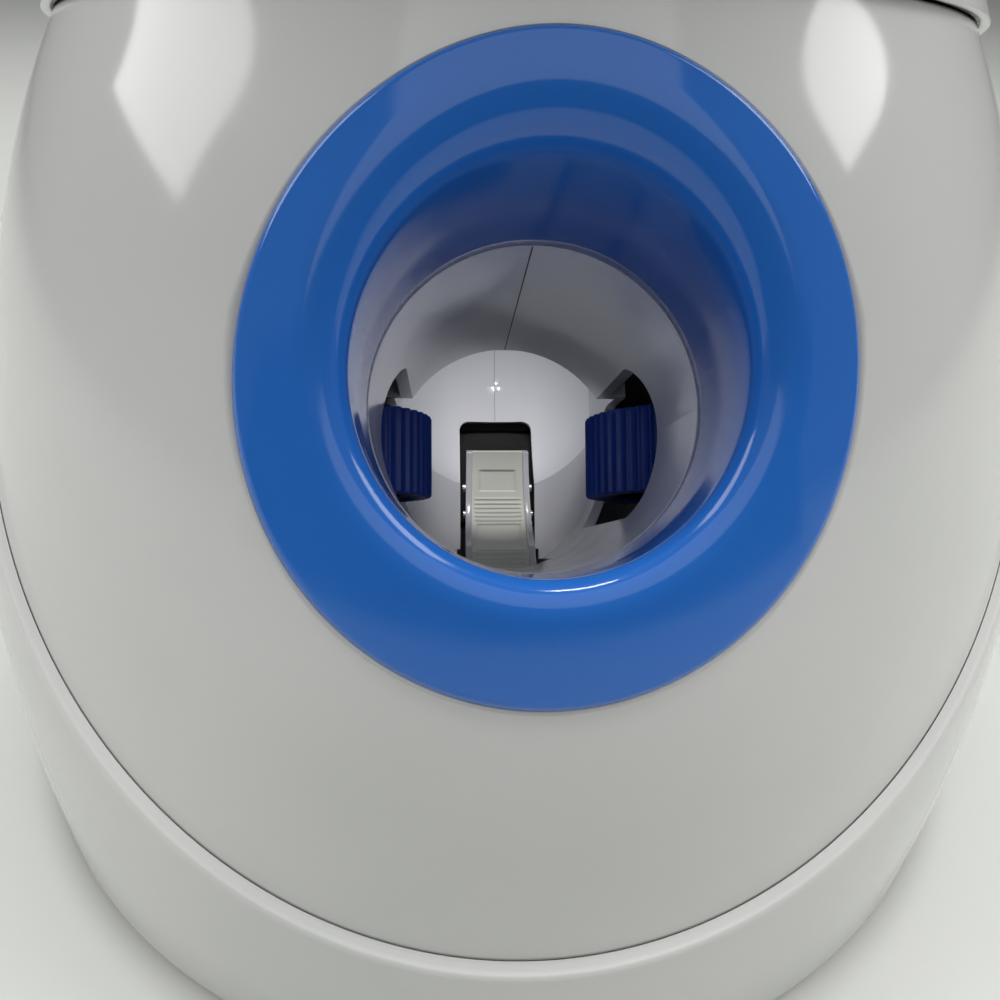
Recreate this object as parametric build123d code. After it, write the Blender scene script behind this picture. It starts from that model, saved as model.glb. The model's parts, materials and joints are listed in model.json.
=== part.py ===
from build123d import *
import math
import os

# An automatic ball launcher for dogs. Lengths are in millimetres, angles in degrees.
# +Z is up, the front (the mouth) faces -Y, and the origin is on the floor at the middle of the base.

# Ball and barrel
BALL_R = 25.4
BORE_R = 29.2
BARREL_WALL = 2.6
BARREL_ANGLE = 37.5
MOUTH_Y = -107.5
MOUTH_Z = 151.0
BARREL_FRONT = 36.5
CUFF_LENGTH = 8.0
STAGED_DEPTH = 130.0
THROAT_AHEAD = 12.0
ELBOW_GAP = 1.6
SENSOR_CLEAR = 20.0
SENSOR_LIFT = 6.0
SENSOR_NOSE_R = 2.3
SENSOR_DEEP = 6.0
SENSOR_WIDE = 8.0
SENSOR_TALL = 10.0

# Outer body: radius of the front shell at each height, up to the neck, and its lean at the floor
DOME_PROFILE = [(127.9, 0.0), (129.3, 30.0), (125.7, 85.6), (111.0, 142.7), (95.5, 177.9), (84.0, 206.0)]
DOME_LEAN = 0.06
SHELL_WALL = 2.5
HOUSING_STEP = 2.6
SKIRT_BOTTOM = 1.5
LEDGE_ANGLE = 41.4
LEDGE_FRONT_Y = -129.3
LEDGE_FRONT_Z = 41.4
SEAM_ANGLE = 12.1
SEAM_MID_Z = 178.6
TONGUE = 6.0
TONGUE_GAP = 0.3

# Mouth ring
RING_R = 46.6
RING_DROP = 3.6
RING_PROUD = 1.0
RING_BORE_R = 29.8
RING_WALL = 2.6
RING_DEPTH = 36.2
RING_GAP = 0.2
RING_FLANGE_R = 51.0
RING_FLANGE = 2.0
RING_BACK_R = 38.0
RING_BACK = 10.0
LIP_RADIUS = 7.5

# Hopper
RIM_R = 112.0
RIM_Z = 246.0
RIM_BAND = 3.0
COLLAR_WALL = 2.4
FUNNEL_R = 101.0
FUNNEL_WALL = 2.5
FUNNEL_FLANGE = 2.4
FUNNEL_MID_R = 54.0
FUNNEL_MID_Z = 216.0
FUNNEL_LOW_Z = 201.0
CHUTE_Y = 33.6
CHUTE_TOP = 176.0
CHUTE_FLANGE_R = 40.0
CHUTE_FLANGE = 3.0

# Flywheels and their motors
WHEEL_DEPTH = 102.0
WHEEL_X = 45.2
WHEEL_LIFT = -1.5
TYRE_R = 26.0
TYRE_INNER_R = 21.0
TYRE_HEIGHT = 19.8
TYRE_RIBS = 52
RIB_DEPTH = 0.9
RIB_SHARE = 0.5
RIB_FLANK = 0.12
HUB_RIM = 2.6
HUB_WEB = 3.0
HUB_BOSS_R = 5.0
HUB_BOSS = 15.19
WHEEL_SHAFT_R = 1.15
MOTOR_R = 14.0
MOTOR_LENGTH = 38.0
MOTOR_NOSE_R = 5.0
MOTOR_NOSE = 2.2
MOTOR_CAP = 2.0
MOTOR_EDGE = 1.2
MOTOR_SCREW_SPREAD = 8.0
SHAFT_INSET = 8.0
SHELF_THICK = 3.0
SHELF_LENGTH = 40.0
SHELF_OUT = 66.0
SHELF_TOP = -19.0
SHELF_ROOT = 20.4
GUSSET_DROP = 12.0
WINDOW_AHEAD = 34.0
WINDOW_BEHIND = 39.0
WINDOW_TOP = 16.0
WINDOW_BOTTOM = -18.0
WINDOW_ROUND = 13.0
WINDOW_CORNER = 6.0

# Pusher slot and arm
SLOT_WIDTH = 22.8
SLOT_TOP = 17.5
SLOT_CORNER = 3.0
SLOT_DROP = 12.0
FLOOR_SLOT_WIDTH = 25.0
FLOOR_SLOT_AHEAD = 8.0
PIVOT_AHEAD = 2.0
PIVOT_DROP = 48.0
PIVOT_R = 2.5
HUB_R = 7.0
CRADLE_R = 28.0
CRADLE_THICK = 2.7
CRADLE_TOP_ANGLE = 13.5
CRADLE_LOW_ANGLE = -62.0
CRADLE_SET_BACK = 0.5
WEB_BACK_ANGLE = -41.0
RECESS_DEPTH = 0.9
UPPER_RECESS = (2.0, -12.0)
LOWER_RECESS = (-35.0, -57.0)
ARM_TIP_WIDTH = 18.6
ARM_ROOT_WIDTH = 21.0
RAIL_WIDTH = 1.5
RAIL_HEIGHT = 2.3
ARM_WEB = 14.0
CROSS_PIN_R = 1.2
CROSS_PIN_ANGLES = (-9.0, -26.0)
CROSS_PIN_LENGTH = 21.2
PIN_HEAD = 1.2

# Feed drive
GEAR_MODULE = 1.2
SECTOR_TEETH = 34
PINION_TEETH = 12
GEAR_WIDTH = 8.0
MESH_ANGLE = -25.0
TOOTH_TIP = 0.8
TOOTH_ROOT = 1.15
TIP_SHARE = 0.11
ROOT_SHARE = 0.3
SECTOR_ABOVE = 3
SECTOR_BELOW = 5
GEARBOX_WIDTH = 18.0
GEARBOX_LENGTH = 30.0
GEARBOX_HEIGHT = 22.0
GEARBOX_CORNER = 3.0
FEED_MOTOR_R = 8.5
FEED_MOTOR_LENGTH = 26.0
SWITCH_LENGTH = 11.0
SWITCH_WIDTH = 6.4
SWITCH_HEIGHT = 10.0
SWITCH_CLEAR = 4.0
LEVER = 0.6
LEVER_REACH = 2.0

# Chassis
CHASSIS_GAP = 32.0
CHASSIS_WALL = 3.0
CHASSIS_FRONT_Y = -84.0
CHASSIS_BACK_Y = 8.0
CHASSIS_FOOT = 11.0
LUG_DEPTHS = (55.0, 135.0)
LUG_LENGTH = 10.0
LUG_DROP = 36.0
CABLE_HOLE_R = 12.0
CABLE_HOLE_Y = -60.0
CABLE_HOLE_Z = 39.0

# Base, feet and battery compartment
BASE_BOTTOM = 2.0
BASE_THICK = 4.0
BASE_GAP = 0.5
FOOT_R = 9.0
FOOT_RING_R = 104.0
FOOT_RECESS = 1.5
FOOT_COUNT = 4
BOSS_RING_R = 118.0
BOSS_R = 4.5
BOSS_HEIGHT = 26.0
BOSS_RIB = 2.0
BOSS_HOLE = 15.6
HOUSING_SCREW = 14.3
BOSS_COUNT = 6
CELL_R = 13.1
CELL_LENGTH = 50.0
CELLS_ACROSS = 3
SPRING_ROOM = 5.0
BOX_WALL = 2.0
BOX_CORNER = 3.0
CELL_ROOM = 1.0
BOX_BACK_Y = 113.1
DOOR_THICK = 2.0
DOOR_REBATE = 3.0
DOOR_GAP = 0.3
DOOR_CORNER = 2.0
DOOR_SCREW_IN = 6.0
GRIP_COUNT = 5
GRIP_PITCH = 4.0
GRIP_WIDTH = 1.6
GRIP_DEPTH = 0.6
GRIP_LENGTH = 24.0
GRIP_IN = 24.0
CONTACT_THICK = 0.5
CONTACT_WIDTH = 14.0
CONTACT_CONE_R = 5.0
CONTACT_TIP_R = 3.0
CONTACT_PROUD = 2.0

# Controls at the back
PANEL_WIDTH = 64.0
PANEL_HEIGHT = 30.0
PANEL_Z = 62.0
PANEL_GAP = 0.2
PANEL_LIP = 3.0
PANEL_LIP_THICK = 2.0
PANEL_POST_R = 2.5
PANEL_POST_IN = 4.0
BUTTON_R = 7.0
BUTTON_SPREAD = 15.0
BUTTON_PROUD = 1.4
BUTTON_EDGE = 1.0
BUTTON_FLANGE_R = 8.0
BUTTON_FLANGE = 1.2
BUTTON_TRAVEL = 0.8
KEY_SWITCH = 1.2
KEY_SWITCH_SIDE = 6.0
BUTTON_GAP = 0.35
LENS_R = 1.5
LENS_COUNT = 3
LENS_PITCH = 6.0
LENS_Z = 72.0
LENS_PROUD = 0.4
BOARD_THICK = 1.6
CONTROL_BOARD_Y = 118.0
SOCKET_TURN = -24.0
SOCKET_R = 6.5
SOCKET_BORE_R = 2.75
SOCKET_PIN_R = 1.0
SOCKET_BORE_DEPTH = 9.5
SOCKET_LENGTH = 14.0
SOCKET_PROUD = 0.8

# Main circuit board
BOARD_X = -84.0
BOARD_Y = -8.0
BOARD_LENGTH = 76.0
BOARD_WIDTH = 46.0
BOARD_POST = 5.0
BOARD_POST_R = 3.5
CAPACITOR_R = 5.0
RELAY_LENGTH = 11.0
RELAY_WIDTH = 16.0
TALL_COMPONENT = 12.0
CHIP_LENGTH = 7.0
CHIP_WIDTH = 10.0
CHIP_HEIGHT = 2.0
HEADER_COUNT = 4
HEADER_PITCH = 12.0
HEADER_LENGTH = 8.0
HEADER_WIDTH = 6.0

# Screws and fits
SCREW_R = 1.5
SCREW_HEAD_R = 2.8
SCREW_HEAD = 1.2
SCREW_SOCKET = 0.7
SCREW_SOCKET_LENGTH = 3.64
SCREW_FIT = 0.1
RUNNING_FIT = 0.05
SIDE_PLAY = 0.3
PART_FIT = 0.2

# Values that follow from the sizes above
BARREL_R = BORE_R + BARREL_WALL
CHAMBER_END = STAGED_DEPTH + CRADLE_R - CRADLE_SET_BACK
SENSOR_DEPTH = WHEEL_DEPTH + TYRE_R + SENSOR_CLEAR
COS = math.cos(math.radians(BARREL_ANGLE))
SIN = math.sin(math.radians(BARREL_ANGLE))
MOUTH = (0, MOUTH_Y, MOUTH_Z)
FAR = 400.0
REACH = 50.0
BACK = 100.0
BARREL = Plane(origin=MOUTH, x_dir=(1, 0, 0), z_dir=(0, COS, -SIN))
SIDE = Plane(origin=MOUTH, x_dir=(0, COS, -SIN), z_dir=(1, 0, 0))
LEDGE = Plane((0, LEDGE_FRONT_Y, LEDGE_FRONT_Z)).rotated((LEDGE_ANGLE, 0, 0))
SEAM = Plane((0, 0, SEAM_MID_Z)).rotated((-SEAM_ANGLE, 0, 0))
FLOOR = Plane((0, 0, SKIRT_BOTTOM))
NECK_Z = DOME_PROFILE[-1][1]
BASE_TOP = BASE_BOTTOM + BASE_THICK
SECTOR_R = GEAR_MODULE * SECTOR_TEETH / 2
PINION_R = GEAR_MODULE * PINION_TEETH / 2
BOX_LENGTH = 2 * CELL_LENGTH + SPRING_ROOM
BOX_DEPTH = 2 * CELL_R * CELLS_ACROSS + CELL_ROOM
BOX_HEIGHT = 2 * CELL_R + CELL_ROOM


def side_point(depth, lift):
    """The (y, z) of a place at a depth along the barrel's axis and a lift across it."""
    return MOUTH_Y + COS * depth + SIN * lift, MOUTH_Z - SIN * depth + COS * lift


PIVOT_Y, PIVOT_Z = side_point(STAGED_DEPTH - PIVOT_AHEAD, -PIVOT_DROP)
PINION_Y = PIVOT_Y + (SECTOR_R + PINION_R) * math.cos(math.radians(MESH_ANGLE))
PINION_Z = PIVOT_Z + (SECTOR_R + PINION_R) * math.sin(math.radians(MESH_ANGLE))


def above(plane, shift=0.0):
    """A large block that fills the side of a plane that its normal points to."""
    return plane * Pos(0, 0, shift + FAR) * Box(2 * FAR, 2 * FAR, 2 * FAR)


def below(plane, shift=0.0):
    """A large block that fills the other side of a plane."""
    return plane * Pos(0, 0, shift - FAR) * Box(2 * FAR, 2 * FAR, 2 * FAR)


def block(x0, x1, y0, y1, z0, z1):
    """A box between two corners in the part's own frame."""
    middle = Pos((x0 + x1) / 2, (y0 + y1) / 2, (z0 + z1) / 2)
    return middle * Box(abs(x1 - x0), abs(y1 - y0), abs(z1 - z0))


def barrel_block(x0, x1, depth0, depth1, lift0, lift1):
    """A box squared to the barrel: x across, depth along its axis, lift up across it."""
    middle = BARREL * Pos((x0 + x1) / 2, -(lift0 + lift1) / 2, (depth0 + depth1) / 2)
    return middle * Box(abs(x1 - x0), abs(lift1 - lift0), abs(depth1 - depth0))


def along_barrel(radius, depth0, depth1, lift=0.0):
    """A round bar along the barrel's axis between two depths."""
    return BARREL * Pos(0, -lift, (depth0 + depth1) / 2) * Cylinder(radius, depth1 - depth0)


def across_barrel(radius, x, depth, lift0, lift1):
    """A round bar that stands square to the barrel's axis, such as a flywheel's shaft."""
    middle = BARREL * Pos(x, -(lift0 + lift1) / 2, depth)
    return middle * Rot(90, 0, 0) * Cylinder(radius, lift1 - lift0)


def upright(radius, x, y, z0, z1):
    """A vertical round bar."""
    return Pos(x, y, (z0 + z1) / 2) * Cylinder(radius, z1 - z0)


def crosswise(radius, x0, x1, y, z):
    """A round bar along X."""
    return Pos((x0 + x1) / 2, y, z) * Rot(0, 90, 0) * Cylinder(radius, x1 - x0)


def lengthwise(radius, x, y0, y1, z):
    """A round bar along Y."""
    return Pos(x, (y0 + y1) / 2, z) * Rot(90, 0, 0) * Cylinder(radius, y1 - y0)


def dome(offset):
    """The body's round outer form, from the floor to the neck, grown outwards by an offset."""
    points = [(radius + offset, 0, height) for radius, height in DOME_PROFILE]
    outline = Spline(*points, tangents=[(DOME_LEAN, 0, 1), (0, 0, 1)])
    top = points[-1]
    bottom = points[0]
    rest = Polyline(top, (0, 0, top[2]), (0, 0, bottom[2]), bottom)
    return revolve(make_face([outline, rest]), axis=Axis.Z)


def skin(outer, inner):
    """The layer of the body's form between two offsets."""
    return dome(outer) - dome(inner)


def screw(length):
    """A pan-head screw with a cross recess: its head sits on z = 0 and its shank points down."""
    head = Pos(0, 0, SCREW_HEAD / 2) * Cylinder(SCREW_HEAD_R, SCREW_HEAD)
    slot = Box(SCREW_SOCKET_LENGTH, SCREW_SOCKET, SCREW_SOCKET)
    cross = Pos(0, 0, SCREW_HEAD) * (slot + Rot(0, 0, 90) * slot)
    return head - cross + Pos(0, 0, -length / 2) * Cylinder(SCREW_R, length)


def screw_hole(length):
    """The clearance that a screw needs below its head."""
    return Pos(0, 0, -length / 2) * Cylinder(SCREW_R + SCREW_FIT, length + 2 * SCREW_FIT)


def head_room():
    """The recess that a screw's head sits in."""
    return Pos(0, 0, SCREW_HEAD) * Cylinder(SCREW_HEAD_R + PART_FIT, 2 * SCREW_HEAD)


def ring_places(count, radius, start):
    """Evenly spaced places on a circle round the Z axis."""
    turns = [math.radians(start + 360 * index / count) for index in range(count)]
    return [(radius * math.cos(turn), radius * math.sin(turn)) for turn in turns]


# Where the screws go


def housing_screw_places():
    return [Pos(x, y, BASE_BOTTOM + SCREW_HEAD) * Rot(180, 0, 0)
            for x, y in ring_places(BOSS_COUNT, BOSS_RING_R, 0)]


def chassis_screw_places():
    x = CHASSIS_GAP / 2 + CHASSIS_WALL + CHASSIS_FOOT / 2
    ends = (CHASSIS_FRONT_Y + CHASSIS_FOOT, CHASSIS_BACK_Y - CHASSIS_FOOT / 2)
    return [Pos(side * x, y, BASE_BOTTOM + SCREW_HEAD) * Rot(180, 0, 0)
            for side in (-1, 1) for y in ends]


def lug_screw_places():
    places = []
    for side in (-1, 1):
        for depth in LUG_DEPTHS:
            y, z = side_point(depth, -LUG_DROP + LUG_LENGTH / 2)
            x = side * (CHASSIS_GAP / 2 + 2 * CHASSIS_WALL)
            places.append(Pos(x, y, z) * Rot(0, side * 90, 0))
    return places


def motor_screw_places():
    return [BARREL * Pos(side * WHEEL_X, -SHELF_TOP, WHEEL_DEPTH + spread) * Rot(90, 0, 0)
            for side in (-1, 1) for spread in (-MOTOR_SCREW_SPREAD, MOTOR_SCREW_SPREAD)]


def chute_screw_places():
    radius = (BARREL_R + CHUTE_FLANGE_R) / 2
    return [Pos(x, CHUTE_Y + y, CHUTE_TOP + CHUTE_FLANGE)
            for x, y in ring_places(4, radius, 45)]


def board_screw_places():
    x = BOARD_WIDTH / 2 - BOARD_POST_R
    y = BOARD_LENGTH / 2 - BOARD_POST_R
    top = BASE_TOP + BOARD_POST + BOARD_THICK
    return [Pos(BOARD_X + a * x, BOARD_Y + b * y, top) for a in (-1, 1) for b in (-1, 1)]


# Outer body


def front_shell():
    wall = skin(0, -SHELL_WALL) & above(LEDGE) & below(SEAM, TONGUE)
    tongue = skin(-TONGUE_GAP, -SHELL_WALL) & above(LEDGE, -TONGUE) & below(LEDGE) & below(SEAM, TONGUE)
    shell = wall + tongue
    return shell - along_barrel(RING_R + RING_GAP, -REACH, REACH, -RING_DROP)


def panel_window(offset):
    return block(-PANEL_WIDTH / 2 - offset, PANEL_WIDTH / 2 + offset, BACK, FAR,
                 PANEL_Z - PANEL_HEIGHT / 2 - offset, PANEL_Z + PANEL_HEIGHT / 2 + offset)


def housing_boss(x, y):
    """A screw boss just inside the skirt, with a rib to the wall."""
    turn = math.degrees(math.atan2(y, x))
    post = upright(BOSS_R, x, y, BASE_TOP, BASE_TOP + BOSS_HEIGHT)
    rib_length = DOME_PROFILE[0][0] - BOSS_RING_R + HOUSING_STEP / 2
    rib = Rot(0, 0, turn) * block(BOSS_RING_R, BOSS_RING_R + rib_length, -BOSS_RIB / 2, BOSS_RIB / 2,
                                  BASE_TOP, BASE_TOP + BOSS_HEIGHT)
    return post + rib


def rear_housing():
    inner = TONGUE_GAP / 3
    wall = skin(HOUSING_STEP, inner) & below(LEDGE) & below(SEAM) & above(FLOOR)
    for x, y in ring_places(BOSS_COUNT, BOSS_RING_R, 0):
        wall += housing_boss(x, y)
    wall -= panel_window(PANEL_GAP)
    wall -= Rot(0, 0, SOCKET_TURN) * lengthwise(SOCKET_R + PART_FIT, 0, BACK, FAR, PANEL_Z)
    for place in housing_screw_places():
        wall -= place * screw_hole(BOSS_HOLE)
    return wall


def door_opening(grow, z0, z1):
    """The battery compartment's mouth in the base, grown by a margin."""
    half = BOX_LENGTH / 2 + grow
    back = BOX_BACK_Y - BOX_WALL + grow
    front = BOX_BACK_Y - BOX_WALL - BOX_DEPTH - grow
    return block(-half, half, front, back, z0, z1)


def base_plate():
    radius = DOME_PROFILE[0][0] - BASE_GAP
    plate = upright(radius, 0, 0, BASE_BOTTOM, BASE_TOP)
    plate -= door_opening(0, BASE_BOTTOM - 1, BASE_TOP + 1)
    plate -= door_opening(DOOR_REBATE, BASE_BOTTOM - 1, BASE_BOTTOM + DOOR_THICK + PART_FIT)
    for place in housing_screw_places() + chassis_screw_places():
        plate -= place * (screw_hole(2 * BASE_THICK) + head_room())
    for x, y in ring_places(FOOT_COUNT, FOOT_RING_R, 45):
        plate -= upright(FOOT_R + PART_FIT, x, y, 0, BASE_BOTTOM + FOOT_RECESS)
    for place in board_screw_places():
        post = place * Pos(0, 0, -BOARD_THICK - BOARD_POST / 2)
        plate += post * Cylinder(BOARD_POST_R, BOARD_POST)
        plate -= place * screw_hole(BOARD_THICK + BOARD_POST)
    return plate


def rubber_feet():
    return [upright(FOOT_R, x, y, 0, BASE_BOTTOM + FOOT_RECESS)
            for x, y in ring_places(FOOT_COUNT, FOOT_RING_R, 45)]


def mouth_ring():
    """The ring on the body's surface, its rolled lip, and the sleeve that leads to the barrel."""
    bore = along_barrel(RING_BORE_R, -REACH, 2 * REACH)
    plug = (dome(RING_PROUD) & along_barrel(RING_R, -REACH, REACH, -RING_DROP)) - bore
    plug = fillet(plug.edges().filter_by(on_mouth), LIP_RADIUS)
    backing = along_barrel(RING_BACK_R, -REACH, REACH) & skin(RING_PROUD, -RING_BACK)
    face = plug & (skin(RING_PROUD, -SHELL_WALL - RING_FLANGE) + backing)
    layer = skin(-SHELL_WALL - PART_FIT, -SHELL_WALL - RING_FLANGE)
    flange = layer & along_barrel(RING_FLANGE_R, -REACH, REACH, -RING_DROP)
    flange -= along_barrel(RING_BACK_R, -REACH, REACH)
    sleeve = (along_barrel(RING_BORE_R + RING_WALL, -REACH, RING_DEPTH) & dome(-RING_BACK)) - bore
    return face + flange + sleeve


def on_mouth(edge):
    """Whether an edge runs round the bore at the ring's outer face."""
    for share in (0.0, 0.3, 0.6):
        place = BARREL.to_local_coords(edge @ share)
        if abs(math.hypot(place.X, place.Y) - RING_BORE_R) > 0.01 or place.Z > RING_DEPTH - 1:
            return False
    return True


# Hopper


def flare(offset):
    """The collar's form above the neck: an arc that opens from the waist to the rim."""
    waist = (DOME_PROFILE[-1][0] + HOUSING_STEP + offset, 0, NECK_Z)
    rim = (RIM_R + offset, 0, RIM_Z)
    outline = TangentArc(waist, rim, tangent=(0, 0, 1))
    rest = Polyline(rim, (0, 0, RIM_Z), (0, 0, NECK_Z), waist)
    return revolve(make_face([outline, rest]), axis=Axis.Z)


def hopper_collar():
    """The flared collar, with an upright band at its rim and a seat for the funnel's flange."""
    low = skin(HOUSING_STEP, HOUSING_STEP - COLLAR_WALL) & above(SEAM)
    high = flare(0) - flare(-COLLAR_WALL)
    band_top = RIM_Z + RIM_BAND
    band = upright(RIM_R, 0, 0, RIM_Z, band_top)
    band -= upright(RIM_R - COLLAR_WALL, 0, 0, RIM_Z, band_top)
    seat = upright(RIM_R, 0, 0, RIM_Z - RIM_BAND, RIM_Z) & flare(-COLLAR_WALL / 2)
    seat -= upright(FUNNEL_R + FUNNEL_WALL + PART_FIT, 0, 0, RIM_Z - 2 * RIM_BAND, RIM_Z + RIM_BAND)
    return low + high + band + seat


def funnel_loft(grow, drop):
    """The bowl's form: circles that shift back as they close on the chute."""
    top = Pos(0, 0, RIM_Z - drop) * Circle(FUNNEL_R + grow)
    middle = Pos(0, CHUTE_Y / 2, FUNNEL_MID_Z - drop) * Circle(FUNNEL_MID_R + grow)
    low = Pos(0, CHUTE_Y, FUNNEL_LOW_Z - drop) * Circle(BORE_R + grow)
    return loft([low, middle, top])


def hopper_funnel():
    bowl = funnel_loft(FUNNEL_WALL, FUNNEL_WALL)
    bowl += upright(FUNNEL_R + FUNNEL_WALL, 0, 0, RIM_Z - FUNNEL_WALL, RIM_Z)
    flange = upright(RIM_R - COLLAR_WALL - PART_FIT, 0, 0, RIM_Z, RIM_Z + FUNNEL_FLANGE)
    spout = upright(BARREL_R, 0, CHUTE_Y, CHUTE_TOP, FUNNEL_LOW_Z)
    foot = upright(CHUTE_FLANGE_R, 0, CHUTE_Y, CHUTE_TOP, CHUTE_TOP + CHUTE_FLANGE)
    funnel = bowl + flange + spout + foot - funnel_loft(0, 0)
    funnel -= upright(FUNNEL_R, 0, 0, RIM_Z, RIM_Z + 2 * FUNNEL_FLANGE)
    funnel -= upright(BORE_R, 0, CHUTE_Y, CHUTE_TOP - 1, FUNNEL_LOW_Z + 1)
    for place in chute_screw_places():
        funnel -= place * screw_hole(CHUTE_FLANGE)
    return funnel


# Barrel


def barrel_void():
    """The ball's way: the barrel, and the chute that drops into its back end."""
    bore = along_barrel(BORE_R, 0, CHAMBER_END + BORE_R)
    chute = upright(BORE_R, 0, CHUTE_Y, BASE_TOP, CHUTE_TOP + 1)
    return (bore + (chute & above_barrel_floor()) + throat(0)) & chamber_limit(0)


def chamber_limit(grow):
    """All that lies before the chamber's end: a flat wall behind the staged ball, and over it a round
    elbow, wide enough for a ball to roll past the front edge of the throat."""
    edge = BARREL * Pos(0, -BORE_R, STAGED_DEPTH - THROAT_AHEAD)
    return below(BARREL, CHAMBER_END + grow) + edge * Sphere(2 * BALL_R + ELBOW_GAP + grow)


def throat(grow):
    """The square room over the staged ball, where the chute opens into the barrel."""
    half = BORE_R + grow
    return barrel_block(-half, half, STAGED_DEPTH - THROAT_AHEAD - grow, CHAMBER_END + BORE_R, 0, half)


def above_barrel_floor():
    """The space over the barrel's middle plane, so that the chute stops where it meets the barrel."""
    middle = Plane(MOUTH, x_dir=(1, 0, 0), z_dir=(0, SIN, COS))
    return above(middle)


def barrel_body():
    tube = along_barrel(BARREL_R, BARREL_FRONT, CHAMBER_END + BORE_R)
    chute = upright(BARREL_R, 0, CHUTE_Y, BASE_TOP, CHUTE_TOP) & above_barrel_floor()
    body = (tube + chute + throat(BARREL_WALL)) & chamber_limit(BARREL_WALL)
    body += upright(CHUTE_FLANGE_R, 0, CHUTE_Y, CHUTE_TOP - CHUTE_FLANGE, CHUTE_TOP)
    cuff_r = RING_BORE_R + RING_WALL + PART_FIT
    body += along_barrel(cuff_r + BARREL_WALL, BARREL_FRONT - CUFF_LENGTH, BARREL_FRONT + BARREL_WALL)
    for side in (-1, 1):
        body += motor_shelf(side)
        body += chassis_lugs(side)
    body -= barrel_void()
    body -= along_barrel(cuff_r, 0, BARREL_FRONT)
    for side in (-1, 1):
        body -= wheel_window(side)
        body -= across_barrel(MOTOR_NOSE_R + PART_FIT, side * WHEEL_X, WHEEL_DEPTH, 2 * SHELF_TOP, 0)
        body -= sensor_hole(side)
    body -= pusher_slot()
    for place in motor_screw_places():
        body -= place * screw_hole(2 * SHELF_THICK)
    for place in lug_screw_places():
        body -= place * screw_hole(2 * CHASSIS_WALL)
    for place in chute_screw_places():
        body -= place * screw_hole(3 * CHUTE_FLANGE)
    return body


def motor_shelf(side):
    """The shelf beside the barrel that a flywheel motor hangs under, with a gusset at each end."""
    front = WHEEL_DEPTH - SHELF_LENGTH / 2
    back = WHEEL_DEPTH + SHELF_LENGTH / 2
    low = SHELF_TOP - SHELF_THICK
    shelf = barrel_block(side * SHELF_ROOT, side * SHELF_OUT, front, back, low, SHELF_TOP)
    for start in (front, back - SHELF_THICK):
        shelf += barrel_block(side * SHELF_ROOT, side * WHEEL_X, start, start + SHELF_THICK,
                              low - GUSSET_DROP, low)
    return shelf


def chassis_lugs(side):
    """Two flat lugs under the barrel that are screwed to a chassis plate."""
    inner = side * (CHASSIS_GAP / 2 + CHASSIS_WALL)
    outer = side * (CHASSIS_GAP / 2 + 2 * CHASSIS_WALL)
    lugs = Part()
    for depth in LUG_DEPTHS:
        lugs += barrel_block(inner, outer, depth - LUG_LENGTH / 2, depth + LUG_LENGTH / 2,
                             -LUG_DROP, -SHELF_ROOT)
    return lugs


def wheel_window(side):
    """The opening in the barrel's side that a flywheel reaches through."""
    opening = barrel_block(side * BORE_R / 2, side * SHELF_OUT, WHEEL_DEPTH - WINDOW_AHEAD,
                           WHEEL_DEPTH + WINDOW_BEHIND, WINDOW_BOTTOM, WINDOW_TOP)
    across = opening.edges().filter_by(Axis.X).sort_by(Axis((0, 0, 0), (0, SIN, COS)))
    opening = fillet(across[-2:], WINDOW_ROUND)
    across = opening.edges().filter_by(Axis.X).sort_by(Axis((0, 0, 0), (0, SIN, COS)))
    return fillet(across[:2], WINDOW_CORNER)


def sensor_hole(side):
    ends = sorted((side * BORE_R / 2, side * SHELF_OUT))
    return crosswise(SENSOR_NOSE_R + PART_FIT, *ends, *side_point(SENSOR_DEPTH, SENSOR_LIFT))


def pusher_slot():
    """The slot for the pusher: up the end wall, and forwards through the floor."""
    half = SLOT_WIDTH / 2
    floor_half = FLOOR_SLOT_WIDTH / 2
    low = -BORE_R - SLOT_DROP
    wall = barrel_block(-half, half, STAGED_DEPTH + SLOT_TOP, CHAMBER_END + BORE_R, low, SLOT_TOP)
    corners = wall.edges().filter_by(Axis((0, 0, 0), (0, COS, -SIN))).sort_by(Axis.Z)[-2:]
    floor = barrel_block(-floor_half, floor_half, STAGED_DEPTH - FLOOR_SLOT_AHEAD,
                         CHAMBER_END + BORE_R, low, low + SLOT_DROP + BORE_R / 5)
    return fillet(corners, SLOT_CORNER) + floor


def barrel_half(side):
    """One half of the barrel's clamshell, split along the barrel's middle."""
    return barrel_body() & block(0, side * FAR, -FAR, FAR, -FAR, FAR)


def ball_sensor(side):
    """A light sensor's housing on the barrel's side, with its nose in the wall."""
    y, z = side_point(SENSOR_DEPTH, SENSOR_LIFT)
    face = BARREL_R + PART_FIT
    nose = crosswise(SENSOR_NOSE_R, *sorted((side * (BORE_R + 3 * PART_FIT), side * (face + 1))), y, z)
    case = Pos(side * (face + SENSOR_DEEP / 2), y, z) * Box(SENSOR_DEEP, SENSOR_WIDE, SENSOR_TALL)
    return case + nose


# Flywheels


def tyre(side):
    """A ribbed tyre: the outline steps between rib tops and grooves."""
    points = []
    for index in range(TYRE_RIBS):
        for share, depth in ((0.0, 0), (RIB_SHARE, 0), (RIB_SHARE + RIB_FLANK, RIB_DEPTH),
                             (1 - RIB_FLANK, RIB_DEPTH)):
            turn = 2 * math.pi * (index + share) / TYRE_RIBS
            points.append(((TYRE_R - depth) * math.cos(turn), (TYRE_R - depth) * math.sin(turn)))
    ribbed = extrude(make_face(Polyline(*points, close=True)), TYRE_HEIGHT / 2, both=True)
    ring = ribbed - Cylinder(TYRE_INNER_R, 2 * TYRE_HEIGHT)
    return BARREL * Pos(side * WHEEL_X, -WHEEL_LIFT, WHEEL_DEPTH) * Rot(90, 0, 0) * ring


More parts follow.
